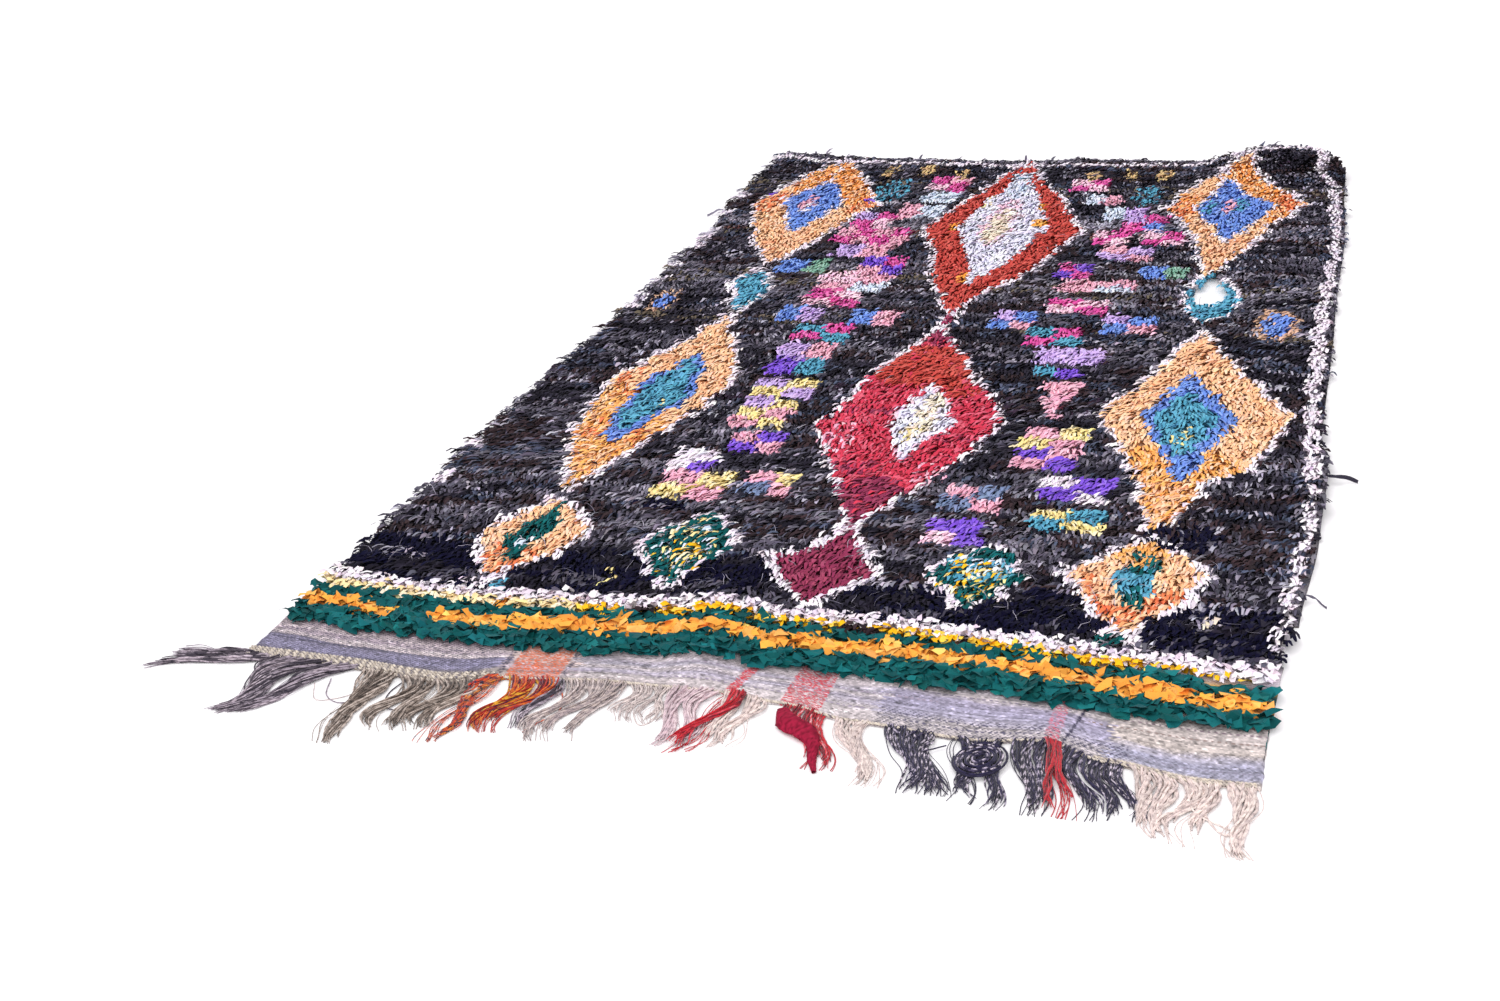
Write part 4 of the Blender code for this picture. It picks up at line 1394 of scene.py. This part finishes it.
def weave_finish():
    made, shader, start = new_finish("flat_woven", Sheen_Weight=0.2, Specular_IOR_Level=0.2)
    thread = start.node("ShaderNodeAttribute", {"attribute_name": "thread"})
    place = start.node("ShaderNodeTexCoord", output="Object")
    x, y, _z = split(place)
    ribs = (y * (math.tau / RIB)).sine()
    spun = (x * (math.tau / 0.0022) + y * (math.tau / 0.0031)).sine()
    fuzz = fine_noise(place, 800.0, 2.0)
    # painted shade: the ribs and twist, the same waves as the bump, darken the colour in their troughs; the
    # fuzz is the wool's own tone
    shade = 0.80 + ribs * 0.08 + spun * 0.05 + fuzz * 0.30
    feed(shader, "Base Color", mixed("MULTIPLY", 1.0, thread, grey(shade)))
    feed(shader, "Roughness", 0.80 + fuzz * 0.2)
    feed(shader, "Normal", bumped(ribs * 0.6 + spun * 0.4 + fuzz * 0.6, 0.5, 0.0007))
    return made


rng = np.random.default_rng(SEED + 2)
weave = flat_weave(rng)
dress(weave, "rug_body", weave_finish())

# %% [markdown]
# The warp ends hang loose past the flat weave, and were knotted and twisted in groups so that it can't
# unravel. Each strand of a group is a few two-ply yarns that wind round each other. A yarn is a thin tube
# whose finish turns along it, in the two colours of its plies.

# %% Yarns
YARN_SIDES = 4
YARN_STEPS = 20
# name, then the two plies of each of its kinds of yarn
YARN_PAINTS = table(
    """
    grey_mauve #a498a4 #6b606a #c4b6c0 #7c707a #524a54 #2a2532 #433c46 #352f3c;
    taupe #aa9c92 #7c6f66 #6e6058 #433b36 #c4b6ac #94867c #86786e #554b45;
    orange_navy #d8602e #34304a #c9452c #3a3550 #e08a3a #34304a;
    red_orange #a8261f #c0361c #dc7226 #b83a1e #d9a02c #a82e1c #7c2030 #46183a;
    beige #c6b6b0 #93878a #b0a0a0 #877c80 #d8cac6 #a89c9a;
    ecru #dccfca #b8aaa8 #d0c2be #ac9e9e;
    pale_pink #e0cccf #c0a8ae #d6bec4 #b4a0a8;
    cream #ead9d2 #c8b6b2 #e0cec8 #b8a8a6 #f0e2da #cfbeb8;
    navy_white #1a1630 #2a2642 #221d3c #b9aec2 #1d1832 #544c68 #17142a #d8ccda #2b2648 #1a1630;
    red #c8202f #a01426 #d43c48 #e6b0b4 #8c1226 #5c1226;
    red_over #c8202f #a81828 #d03040 #d8606a #981428 #5c1226 #c02436 #8c1226
    """
)
# yarn, roots x to x, tips x y to x y, bow, bundles, how they gather and how at the tip, layers, turns
FRINGE_GROUPS = table(
    """
    grey_mauve -0.752 -0.7 -0.862 -0.108 -0.892 -0.186 0.006 2 0.42 0.7 4.6 2.8;
    grey_mauve -0.694 -0.61 -0.724 -0.258 -0.7 -0.27 -0.012 1 0.66 0.95 3.2 1.3;
    grey_mauve -0.606 -0.556 -0.7 -0.262 -0.672 -0.254 -0.014 1 0.66 0.95 3.2 1.3;
    taupe -0.55 -0.49 -0.52 -0.306 -0.494 -0.3 0.014 1 0.8 0.95 2.4 1.2;
    taupe -0.488 -0.36 -0.47 -0.266 -0.37 -0.24 0.014 4 0.6 0.7 2.4 0.9;
    orange_navy -0.356 -0.326 -0.372 -0.276 -0.36 -0.262 0.01 1 0.7 0.9 2.4 2.0;
    red_orange -0.322 -0.248 -0.322 -0.24 -0.276 -0.226 0.012 2 0.7 0.8 2.8 1.0;
    grey_mauve -0.262 -0.24 -0.262 -0.216 -0.248 -0.212 0.012 1 0.7 0.8 2.0 1.4;
    beige -0.238 -0.146 -0.24 -0.242 -0.172 -0.226 0.012 3 0.65 0.8 2.1 0.8;
    ecru -0.142 -0.078 -0.138 -0.17 -0.072 -0.166 0.008 4 0.5 0.6 1.2 0.6;
    pale_pink -0.076 -0.006 -0.062 -0.218 -0.018 -0.21 -0.01 2 0.72 0.7 2.1 0.7;
    red_over 0.01 0.032 -0.032 -0.228 -0.01 -0.216 -0.01 1 0.7 0.6 2.2 1.2;
    cream 0.0 0.062 0.006 -0.206 0.046 -0.196 -0.01 2 0.65 0.7 1.8 0.7;
    red 0.092 0.154 0.158 -0.226 0.192 -0.222 -0.008 2 0.6 0.8 1.6 0.6;
    cream 0.168 0.218 0.24 -0.25 0.256 -0.244 -0.012 1 0.8 0.9 1.8 0.9;
    navy_white 0.24 0.308 0.292 -0.252 0.366 -0.244 -0.006 1 0.9 0.1 2.8 0.4;
    navy_white 0.336 0.4 0.372 -0.254 0.426 -0.264 -0.01 2 0.6 0.8 2.6 1.3;
    navy_white 0.412 0.462 0.458 -0.264 0.484 -0.258 -0.006 2 0.62 0.7 2.6 1.0;
    red_over 0.452 0.474 0.476 -0.258 0.52 -0.262 -0.006 2 0.75 0.7 2.0 1.4;
    navy_white 0.478 0.56 0.52 -0.262 0.6 -0.244 -0.008 3 0.6 0.8 2.8 1.0;
    cream 0.566 0.682 0.594 -0.272 0.67 -0.288 0.012 4 0.62 0.7 1.9 1.3;
    cream 0.686 0.724 0.708 -0.292 0.724 -0.298 0.012 1 0.7 0.8 2.2 1.0
    """
)
YARN_RADIUS = 0.0016
YARN_PAINTS = {name: list(zip(codes[::2], codes[1::2])) for name, *codes in YARN_PAINTS}
THICKER = {"cream": 1.3, "pale_pink": 1.1, "navy_white": 0.95}
CRINKLE = 0.0005
OVER = {"red_over": 0.005}
BOW_VARIES, BOW_TURNED = (0.2, 1.5), 0.22
BUNDLE_CUTS, YARN_CUTS = (0.80, 1.0), (0.76, 1.0)
YARN_UP = 0.0003
YARN_TAPER = ((0, 0.85, 1), (1, 0.9, 0.35))
YARN_DYES = (0.74, 1.12)
OVER_EDGE = 0.0034


def hang(root_x, tip, bow, reach):
    """A line on the floor from the edge of the weave to a tip, with a bow to each side."""
    root_y = weave_edge(root_x) + 0.005
    run_x, run_y = tip[0] - root_x, tip[1] - root_y
    long = math.hypot(run_x, run_y)
    t = np.linspace(0, 1, YARN_STEPS) * reach
    turned = t * t * (3 - 2 * t) * 0.35 + t * 0.65
    swing = bow * np.sin(math.tau * t)
    return root_x + run_x * turned - run_y / long * swing, root_y + run_y * t + run_x / long * swing, t


def hang_at(ends, share, bow, reach):
    """The line that hangs from a share of the way across a group."""
    root_a, root_b, ax, ay, bx, by = ends
    tip = (ax + (bx - ax) * share, ay + (by - ay) * share)
    return hang(root_a + (root_b - root_a) * share, tip, bow, reach)


def tubes(lines, radii):
    """Round each line of points, a tube: yarns x steps x sides x 3."""
    lines = np.asarray(lines)
    ahead = np.gradient(lines, axis=1)
    ahead /= np.linalg.norm(ahead, axis=2, keepdims=True) + 1e-9
    side = np.cross(ahead, (0, 0, 1.0))
    side /= np.linalg.norm(side, axis=2, keepdims=True) + 1e-9
    rise = np.cross(side, ahead)
    angle = np.linspace(0, math.tau, YARN_SIDES, endpoint=False)[None, None, :, None]
    radii = np.asarray(radii)[:, :, None, None]
    out = np.cos(angle) * side[:, :, None] + np.sin(angle) * rise[:, :, None]
    return lines[:, :, None] + radii * out


def one_yarn(places, radius, pair, dye_and_shade=1.0):
    """A yarn as its line, its radius along it and the colours of its two plies."""
    radii = np.broadcast_to(radius, YARN_STEPS)
    return np.stack(places, -1), radii, linear(pair[0]) * dye_and_shade, linear(pair[1]) * dye_and_shade


def group_yarns(group, rng):
    """The yarns of one group: each leaves its own place on the edge, and gathers into its bundle."""
    yarn, *ends = group[:7]
    bow, bundles, gather, at_tip, layers, turns = group[7:]
    bundles, group_wide = int(bundles), ends[1] - ends[0]
    thick = YARN_RADIUS * THICKER.get(yarn, 1.0)
    count = round(group_wide / (2 * thick) * layers)
    bends = bow * rng.uniform(*BOW_VARIES, bundles) * np.where(rng.random(bundles) < BOW_TURNED, -1, 1)
    cuts = rng.uniform(*BUNDLE_CUTS, bundles)
    cuts[rng.integers(bundles)] = 1.0
    yarns = []
    for at in range(count):
        share = (at + rng.uniform(0, 1)) / count
        which = min(int(share * bundles), bundles - 1)
        bundle, bow = (which + 0.5) / bundles, bends[which]
        reach = cuts[which] * rng.uniform(*YARN_CUTS)
        own = hang_at(ends, share, bow, reach)
        held = hang_at(ends, bundle, bow, reach)
        t = own[2]
        pull = gather * np.interp(t, (0, 0.2, 0.45, 0.6, 1), (0, 0.45, 0.95, 1, at_tip))
        x, y = own[0] + (held[0] - own[0]) * pull, own[1] + (held[1] - own[1]) * pull
        phase = rng.uniform(0, math.tau)
        angle = phase + math.tau * turns * t
        wide = group_wide / bundles * 0.20 * np.minimum(t * 6, 1) * (1 - 0.75 * at_tip * t)
        wander = 0.0042 * t * np.sin(t * rng.uniform(5, 15) + phase * 3) + rng.normal(0, 0.006) * t**2
        wander = wander + CRINKLE * np.sin(t * rng.uniform(26, 44) + phase * 5) * np.minimum(t * 5, 1)
        x = x + wide * np.cos(angle) + wander
        layer = rng.uniform(0, 1) * min(layers, 2.4)
        climb = (0.0008 + 0.0012 * layer) * (1 + np.sin(angle)) * np.clip(1.25 - t, 0.2, 1)
        z = YARN_RADIUS + YARN_UP + climb
        radius = thick * rng.uniform(0.75, 1.2)
        z = np.maximum(np.maximum(z, OVER_EDGE * (t < 0.03)), radius + YARN_UP) + OVER.get(yarn, 0)
        tapered = radius * np.interp(t / reach, *YARN_TAPER)
        pair = YARN_PAINTS[yarn][rng.integers(len(YARN_PAINTS[yarn]))]
        yarns.append(one_yarn((x, y, z), tapered, pair, rng.uniform(*YARN_DYES)))
    return yarns


def strand_yarns(rng):
    """Every yarn of the fringe's groups."""
    return [yarn for group in FRINGE_GROUPS for yarn in group_yarns(group, rng)]


# yarn, radius, places x y height along it: loops, stray ends and red threads
EXTRA_YARNS = table(
    """
    grey_mauve 0.001 -0.585 -0.15 0.002 -0.57 -0.19 0.001 -0.54 -0.206 0.001 -0.512 -0.188 0.001 -0.515
        -0.15 0.003;
    ecru 0.0008 -0.6 -0.17 0.005 -0.58 -0.205 0.002 -0.55 -0.196 0.001 -0.52 -0.17 0.002;
    grey_mauve 0.0011 -0.47 -0.13 0.003 -0.48 -0.165 0.001 -0.47 -0.2 0.001 -0.445 -0.212 0.004;
    orange_navy 0.0011 -0.242 -0.1 0.003 -0.224 -0.13 0.001 -0.216 -0.165 0.001 -0.238 -0.205 0.001 -0.244
        -0.222 0.001;
    ecru 0.0009 -0.12 -0.11 0.005 -0.108 -0.15 0.002 -0.09 -0.172 0.001 -0.076 -0.152 0.001 -0.088 -0.12
        0.004;
    cream 0.0014 0.64 -0.16 0.005 0.655 -0.215 0.004 0.69 -0.236 0.002 0.712 -0.246 0.002;
    cream 0.0014 0.672 -0.165 0.005 0.668 -0.212 0.003 0.69 -0.25 0.002 0.714 -0.25 0.002;
    navy_white 0.0012 0.242 -0.118 0.005 0.262 -0.15 0.005 0.3 -0.16 0.006 0.33 -0.14 0.005;
    taupe 0.0012 -0.452 -0.13 0.005 -0.43 -0.172 0.006 -0.395 -0.186 0.006 -0.372 -0.18 0.004
    """
)
ROSETTE = (0.380, -0.165)
ROSETTE_RINGS, ROSETTE_YARN = 11, 0.0018
ROSETTE_OUT, ROSETTE_STEP = 0.006, 0.0028
ROSETTE_HIGH, ROSETTE_FALL = 0.0105, 0.0003
FRAYED_ENDS, FRAYED_RADIUS = 9, (0.0004, 0.0007)


def through(places, steps=YARN_STEPS):
    """Points along a smooth curve through a few places."""
    places = np.array(places, float)
    padded = np.vstack([2 * places[0] - places[1], places, 2 * places[-1] - places[-2]])
    out = []
    for s in np.linspace(0, len(places) - 1 - 1e-6, steps):
        i, t = int(s), s % 1
        a, b, c, d = padded[i : i + 4]
        bent = (2 * a - 5 * b + 4 * c - d) * t**2
        out.append(0.5 * (2 * b + (c - a) * t + bent + (3 * b - a - 3 * c + d) * t**3))
    return np.array(out)


def extra_yarns(rng):
    """Loops and stray ends, a rosette of coiled yarn, and the frayed fibre of each group."""
    yarns = []
    for at, (yarn, radius, *places) in enumerate(EXTRA_YARNS):
        line = through(np.reshape(places, (-1, 3)))
        line[:, 2] = np.maximum(line[:, 2], radius + 0.0002)
        yarns.append(one_yarn(line.T, radius, YARN_PAINTS[yarn][at % len(YARN_PAINTS[yarn])]))
    for ring in range(ROSETTE_RINGS):
        t = np.linspace(0, 1, YARN_STEPS)
        angle = ring * 2.2 + math.tau * 0.8 * t
        out = ROSETTE_OUT + ROSETTE_STEP * ring + 0.002 * np.sin(angle * 2)
        x, y = ROSETTE[0] + out * np.cos(angle), ROSETTE[1] + 1.15 * out * np.sin(angle)
        z = ROSETTE_HIGH - ROSETTE_FALL * ring + 0 * t
        kinds = YARN_PAINTS["navy_white"]
        yarns.append(one_yarn((x, y, z), ROSETTE_YARN, kinds[ring % len(kinds)]))
    for yarn, *values in FRINGE_GROUPS:
        for _frayed in range(FRAYED_ENDS):
            share = rng.uniform(0, 1)
            x, y, t = hang_at(values[:6], share, values[6], 1.0)
            stray = rng.normal(0, 0.007) * t**2
            stray = stray + 0.003 * np.sin(t * rng.uniform(6, 16) + rng.uniform(0, 6)) * t
            z = np.maximum(0.0012 + 0.004 * (1 - t) + 0.0008 * np.sin(t * 11 + share * 9), 0.001)
            yarns.append(one_yarn((x + stray, y, z), rng.uniform(*FRAYED_RADIUS), YARN_PAINTS[yarn][0]))
    return yarns


# from x, to x, in from the edge of the weave, radius, pitch
EDGE_CORDS = table(
    """
    -0.752 0.724 0.0024 0.0015 0.009;
    -0.752 -0.345 0.0084 0.0023 0.014;
    -0.752 -0.36 0.0146 0.0022 0.013;
    -0.752 -0.38 0.0204 0.0021 0.013;
    0.52 0.724 0.0078 0.0016 0.01
    """
)
CORD_STRETCH = 0.030
CORD_UP = 0.0036
CORD_PALE, CORD_DULL = ("#ddd2c2", "#b4aaa2"), ("#b9aea0", "#6f6870")
DULL_UP_TO, DULL_SHARE = -0.35, 0.3


def edge_cord(rng):
    """Pairs of cords twined along the edge of the flat weave, which lock its last weft."""
    yarns = []
    for low, high, inset, radius, pitch in EDGE_CORDS:
        for x0 in np.arange(low, high, CORD_STRETCH):
            x = np.linspace(x0, min(x0 + CORD_STRETCH + 0.002, high), YARN_STEPS)
            for side in (0, 1):
                angle = math.tau * x / pitch + math.pi * side
                y = weave_edge(x) + inset + 0.8 * radius * np.cos(angle)
                z = CORD_UP + 0.75 * radius * (1 + np.sin(angle))
                dull = x0 < DULL_UP_TO or rng.random() < DULL_SHARE
                yarns.append(one_yarn((x, y, z), radius, CORD_DULL if dull and side else CORD_PALE))
    return yarns


def yarn_finish():
    """Two plies that turn round each other along the yarn."""
    made, shader, start = new_finish("twisted_yarn", Sheen_Weight=0.25, Specular_IOR_Level=0.2)
    first = start.node("ShaderNodeAttribute", {"attribute_name": "ply_a"})
    second = start.node("ShaderNodeAttribute", {"attribute_name": "ply_b"})
    wind = start.node("ShaderNodeUVMap", {"uv_map": "wind"})
    around, along, _z = split(wind)
    wave = (around * math.tau + along * (math.tau / 0.016)).sine()
    place = start.node("ShaderNodeTexCoord", output="Object")
    fuzz = fine_noise(place, 1100.0, 2.0)
    marl = fine_noise(place, 260.0, 1.0)
    ply = mixed("MIX", (wave * 0.6 + marl * 3.0 - 1.25).clipped(), first, second)
    feed(shader, "Base Color", mixed("MULTIPLY", 1.0, ply, grey(0.75 + fuzz * 0.5)))
    feed(shader, "Roughness", 0.80 + fuzz * 0.2)
    feed(shader, "Normal", bumped(wave * wave * 0.6 + fuzz * 0.5, 0.6, 0.0006))
    return made


def yarn_object(name, yarns):
    lines, radii, first, second = (np.array(part) for part in zip(*yarns))
    run = np.linalg.norm(np.diff(lines, axis=1), axis=2).sum(1)
    colours = {"ply_a": first[:, None, None], "ply_b": second[:, None, None]}
    return strips_object(name, tubes(lines, radii), colours, joined=True, winding=run)


rng = np.random.default_rng(SEED + 3)
twisted = yarn_finish()
fringe = yarn_object("fringe_yarns", strand_yarns(rng))
dress(fringe, "fringe", twisted)
loose = yarn_object("loose_yarns", extra_yarns(rng))
dress(loose, "fringe", twisted)
cord = yarn_object("edge_cord", edge_cord(rng))
dress(cord, "rug_body", twisted)

# %% [markdown]
# One tuft of the fringe is a hank of red wool that has felted together in the wash. It is a thick, soft
# body that narrows to a leg, so it is made as a flattened tube with an uneven skin.

# %% Red felted tuft
FELT_LINE = table(
    """
    0.092 -0.1 0.005;
    0.108 -0.128 0.007;
    0.134 -0.146 0.007;
    0.156 -0.172 0.006;
    0.166 -0.206 0.004;
    0.176 -0.232 0.003
    """
)
FELT_HALF = ((0, 0.007), (0.22, 0.018), (0.45, 0.016), (0.65, 0.008), (1.0, 0.003))
FELT_SIDES = 22
FELT_STEPS = 46


def felt_tuft(rng):
    line = through(FELT_LINE, FELT_STEPS)
    t = np.linspace(0, 1, FELT_STEPS)
    half = np.interp(t, *zip(*FELT_HALF))
    high = np.interp(t, (0, 0.25, 0.6, 1), (0.003, 0.006, 0.005, 0.002))
    ahead = np.gradient(line, axis=0)
    side = np.stack([-ahead[:, 1], ahead[:, 0], 0 * t], -1)
    side /= np.linalg.norm(side, axis=1, keepdims=True)
    angle = np.linspace(0, math.tau, FELT_SIDES, endpoint=False)
    skin = 1 + rng.normal(0, 0.06, (FELT_STEPS, FELT_SIDES)) + 0.10 * np.sin(angle * 3 + t[:, None] * 14)
    points = line[:, None] + side[:, None] * (half[:, None] * skin * np.cos(angle))[..., None]
    points[..., 2] = np.maximum(line[:, None, 2] + high[:, None] * skin * np.sin(angle), 0.0003)
    colour = linear("#941c38") * rng.uniform(0.5, 1.3, (FELT_STEPS, FELT_SIDES, 1))
    return strips_object("felt_tuft", points[None], {"rag": colour[None]}, joined=True)


felt = felt_tuft(rng)
dress(felt, "fringe", soft_rag)

# %% [markdown]
# A few rag ends have worked loose and hang out past the sides, and fine pale threads lie over the navy part
# of the pile where a rag has frayed. They are long ribbons of the same kind as the pile.

# %% Loose rags and threads
# paint, width, places x y height along it
LOOSE_RAGS = table(
    """
    charcoal 0.007 0.76 0.735 0.014 0.778 0.732 0.016 0.796 0.74 0.01 0.812 0.736 0.006;
    slate 0.004 0.752 0.335 0.012 0.764 0.33 0.012 0.776 0.322 0.006 0.784 0.316 0.003;
    mist 0.006 -0.735 2.035 0.012 -0.748 2.03 0.012 -0.762 2.02 0.006 -0.77 2.012 0.003;
    brown 0.0016 -0.484 0.455 0.029 -0.478 0.52 0.034 -0.453 0.55 0.034 -0.441 0.512 0.03
    """
)
LOOSE_STEPS = 8
THREADS = 420
THREAD_LENGTHS, THREAD_WIDTHS = (0.020, 0.045), (0.0006, 0.0011)
THREADS_SIDE, THREADS_UP = (-0.72, 0.72), 0.006
NAVY_PART, OTHER_PART, NAVY_SHARE = (0.17, 0.40), (0.4, 2.45), 0.6


def loose_rags(rng):
    lines = [through(np.reshape(places, (-1, 3)), LOOSE_STEPS) for _paint, _width, *places in LOOSE_RAGS]
    lines = np.array(lines)
    out = np.array([width for _paint, width, *_places in LOOSE_RAGS])[:, None, None, None] / 2
    roll = np.linspace(0, 1.4, LOOSE_STEPS)[None, :, None]
    side = np.concatenate([0 * roll, np.cos(roll), np.sin(roll)], 2) * np.ones((len(lines), 1, 1))
    points = lines[:, :, None] + side[:, :, None] * out * np.array((-1, 0, 1))[None, None, :, None]
    points = points + rng.normal(0, 0.0006, points.shape)
    points[..., 2] = np.maximum(points[..., 2], 0.001)
    colour = np.concatenate([painted(paint, 1, rng) for paint, *_rest in LOOSE_RAGS])
    return strips_object("loose_rags", points, {"rag": colour[:, None, None, :]})


def pale_threads(rng):
    x = rng.uniform(*THREADS_SIDE, THREADS)
    on_navy = rng.random(THREADS) < NAVY_SHARE
    y = np.where(on_navy, rng.uniform(*NAVY_PART, THREADS), rng.uniform(*OTHER_PART, THREADS))
    length = rng.uniform(*THREAD_LENGTHS, THREADS)
    width = rng.uniform(*THREAD_WIDTHS, THREADS)
    heading = rng.uniform(0, math.tau, THREADS)
    points, _seen = shape_rags(x, y, length, width, heading, rng, rise=(80, 8, -4), loose=12, folds=5)
    points[..., 2] += THREADS_UP
    colour = painted("mist", THREADS, rng)
    return strips_object("pale_threads", points, {"rag": colour[:, None, None, :]})


rng = np.random.default_rng(SEED + 4)
ends = loose_rags(rng)
dress(ends, "rug_body", soft_rag)
threads = pale_threads(rng)
dress(threads, "rug_body", soft_rag)

# %% [markdown]
# The floor is plain and pale, as in a studio. One big soft light from above and a pale surrounding keep the
# shadows faint, and the plain view transform keeps the dyes as bright as they are.

# %% Floor and light
floor_mesh = bpy.data.meshes.new("floor")
FLOOR_HALF = 30.0
corners = [(x * FLOOR_HALF, y * FLOOR_HALF, 0) for x, y in ((-1, -1), (1, -1), (1, 1), (-1, 1))]
floor_mesh.from_pydata(corners, [], [(0, 1, 2, 3)])
floor = bpy.data.objects.new("floor", floor_mesh)
bpy.context.scene.collection.objects.link(floor)
pale_floor, shader, start = new_finish("pale_floor", Roughness=0.9, Specular_IOR_Level=0.1)
place = start.node("ShaderNodeTexCoord", output="Object")
grain = fine_noise(place, 3.0, 2.0)
feed(shader, "Base Color", mixed("MIX", grain, (0.93, 0.93, 0.93, 1), (0.96, 0.96, 0.96, 1)))
floor_mesh.materials.append(pale_floor)
floor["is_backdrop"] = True

world = bpy.data.worlds.new("studio")
bpy.context.scene.world = world
world.use_nodes = True
world.node_tree.nodes["Background"].inputs["Color"].default_value = (1.0, 0.968, 1.0, 1)
world.node_tree.nodes["Background"].inputs["Strength"].default_value = 1.0
LIGHTS = (
    # name, kind, place, aimed at, strength, size in metres or spread in degrees
    ("overhead", "SUN", (-1.5, -1.0, 4.0), (0.0, 0.0, 0.0), 0.8, 50.0),
    ("front", "AREA", (1.2, -4.2, 2.8), (0.0, -0.2, 0.0), 45.0, 2.0),
)
for name, kind, at, aim, strength, size in LIGHTS:
    light = bpy.data.lights.new(name, kind)
    light.energy = strength
    if kind == "SUN":
        light.angle = math.radians(size)
    else:
        light.size = size
    lamp = bpy.data.objects.new(name, light)
    lamp.location = at
    lamp.rotation_euler = (Vector(aim) - Vector(at)).to_track_quat("-Z", "Y").to_euler()
    bpy.context.scene.collection.objects.link(lamp)
bpy.context.scene.view_settings.view_transform = "Standard"
print("floor and", len(LIGHTS), "lights")

# %% [markdown]
# Last, the finished rug's box is printed.

low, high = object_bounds()
print("visual box", [round(v, 4) for v in low], [round(v, 4) for v in high])
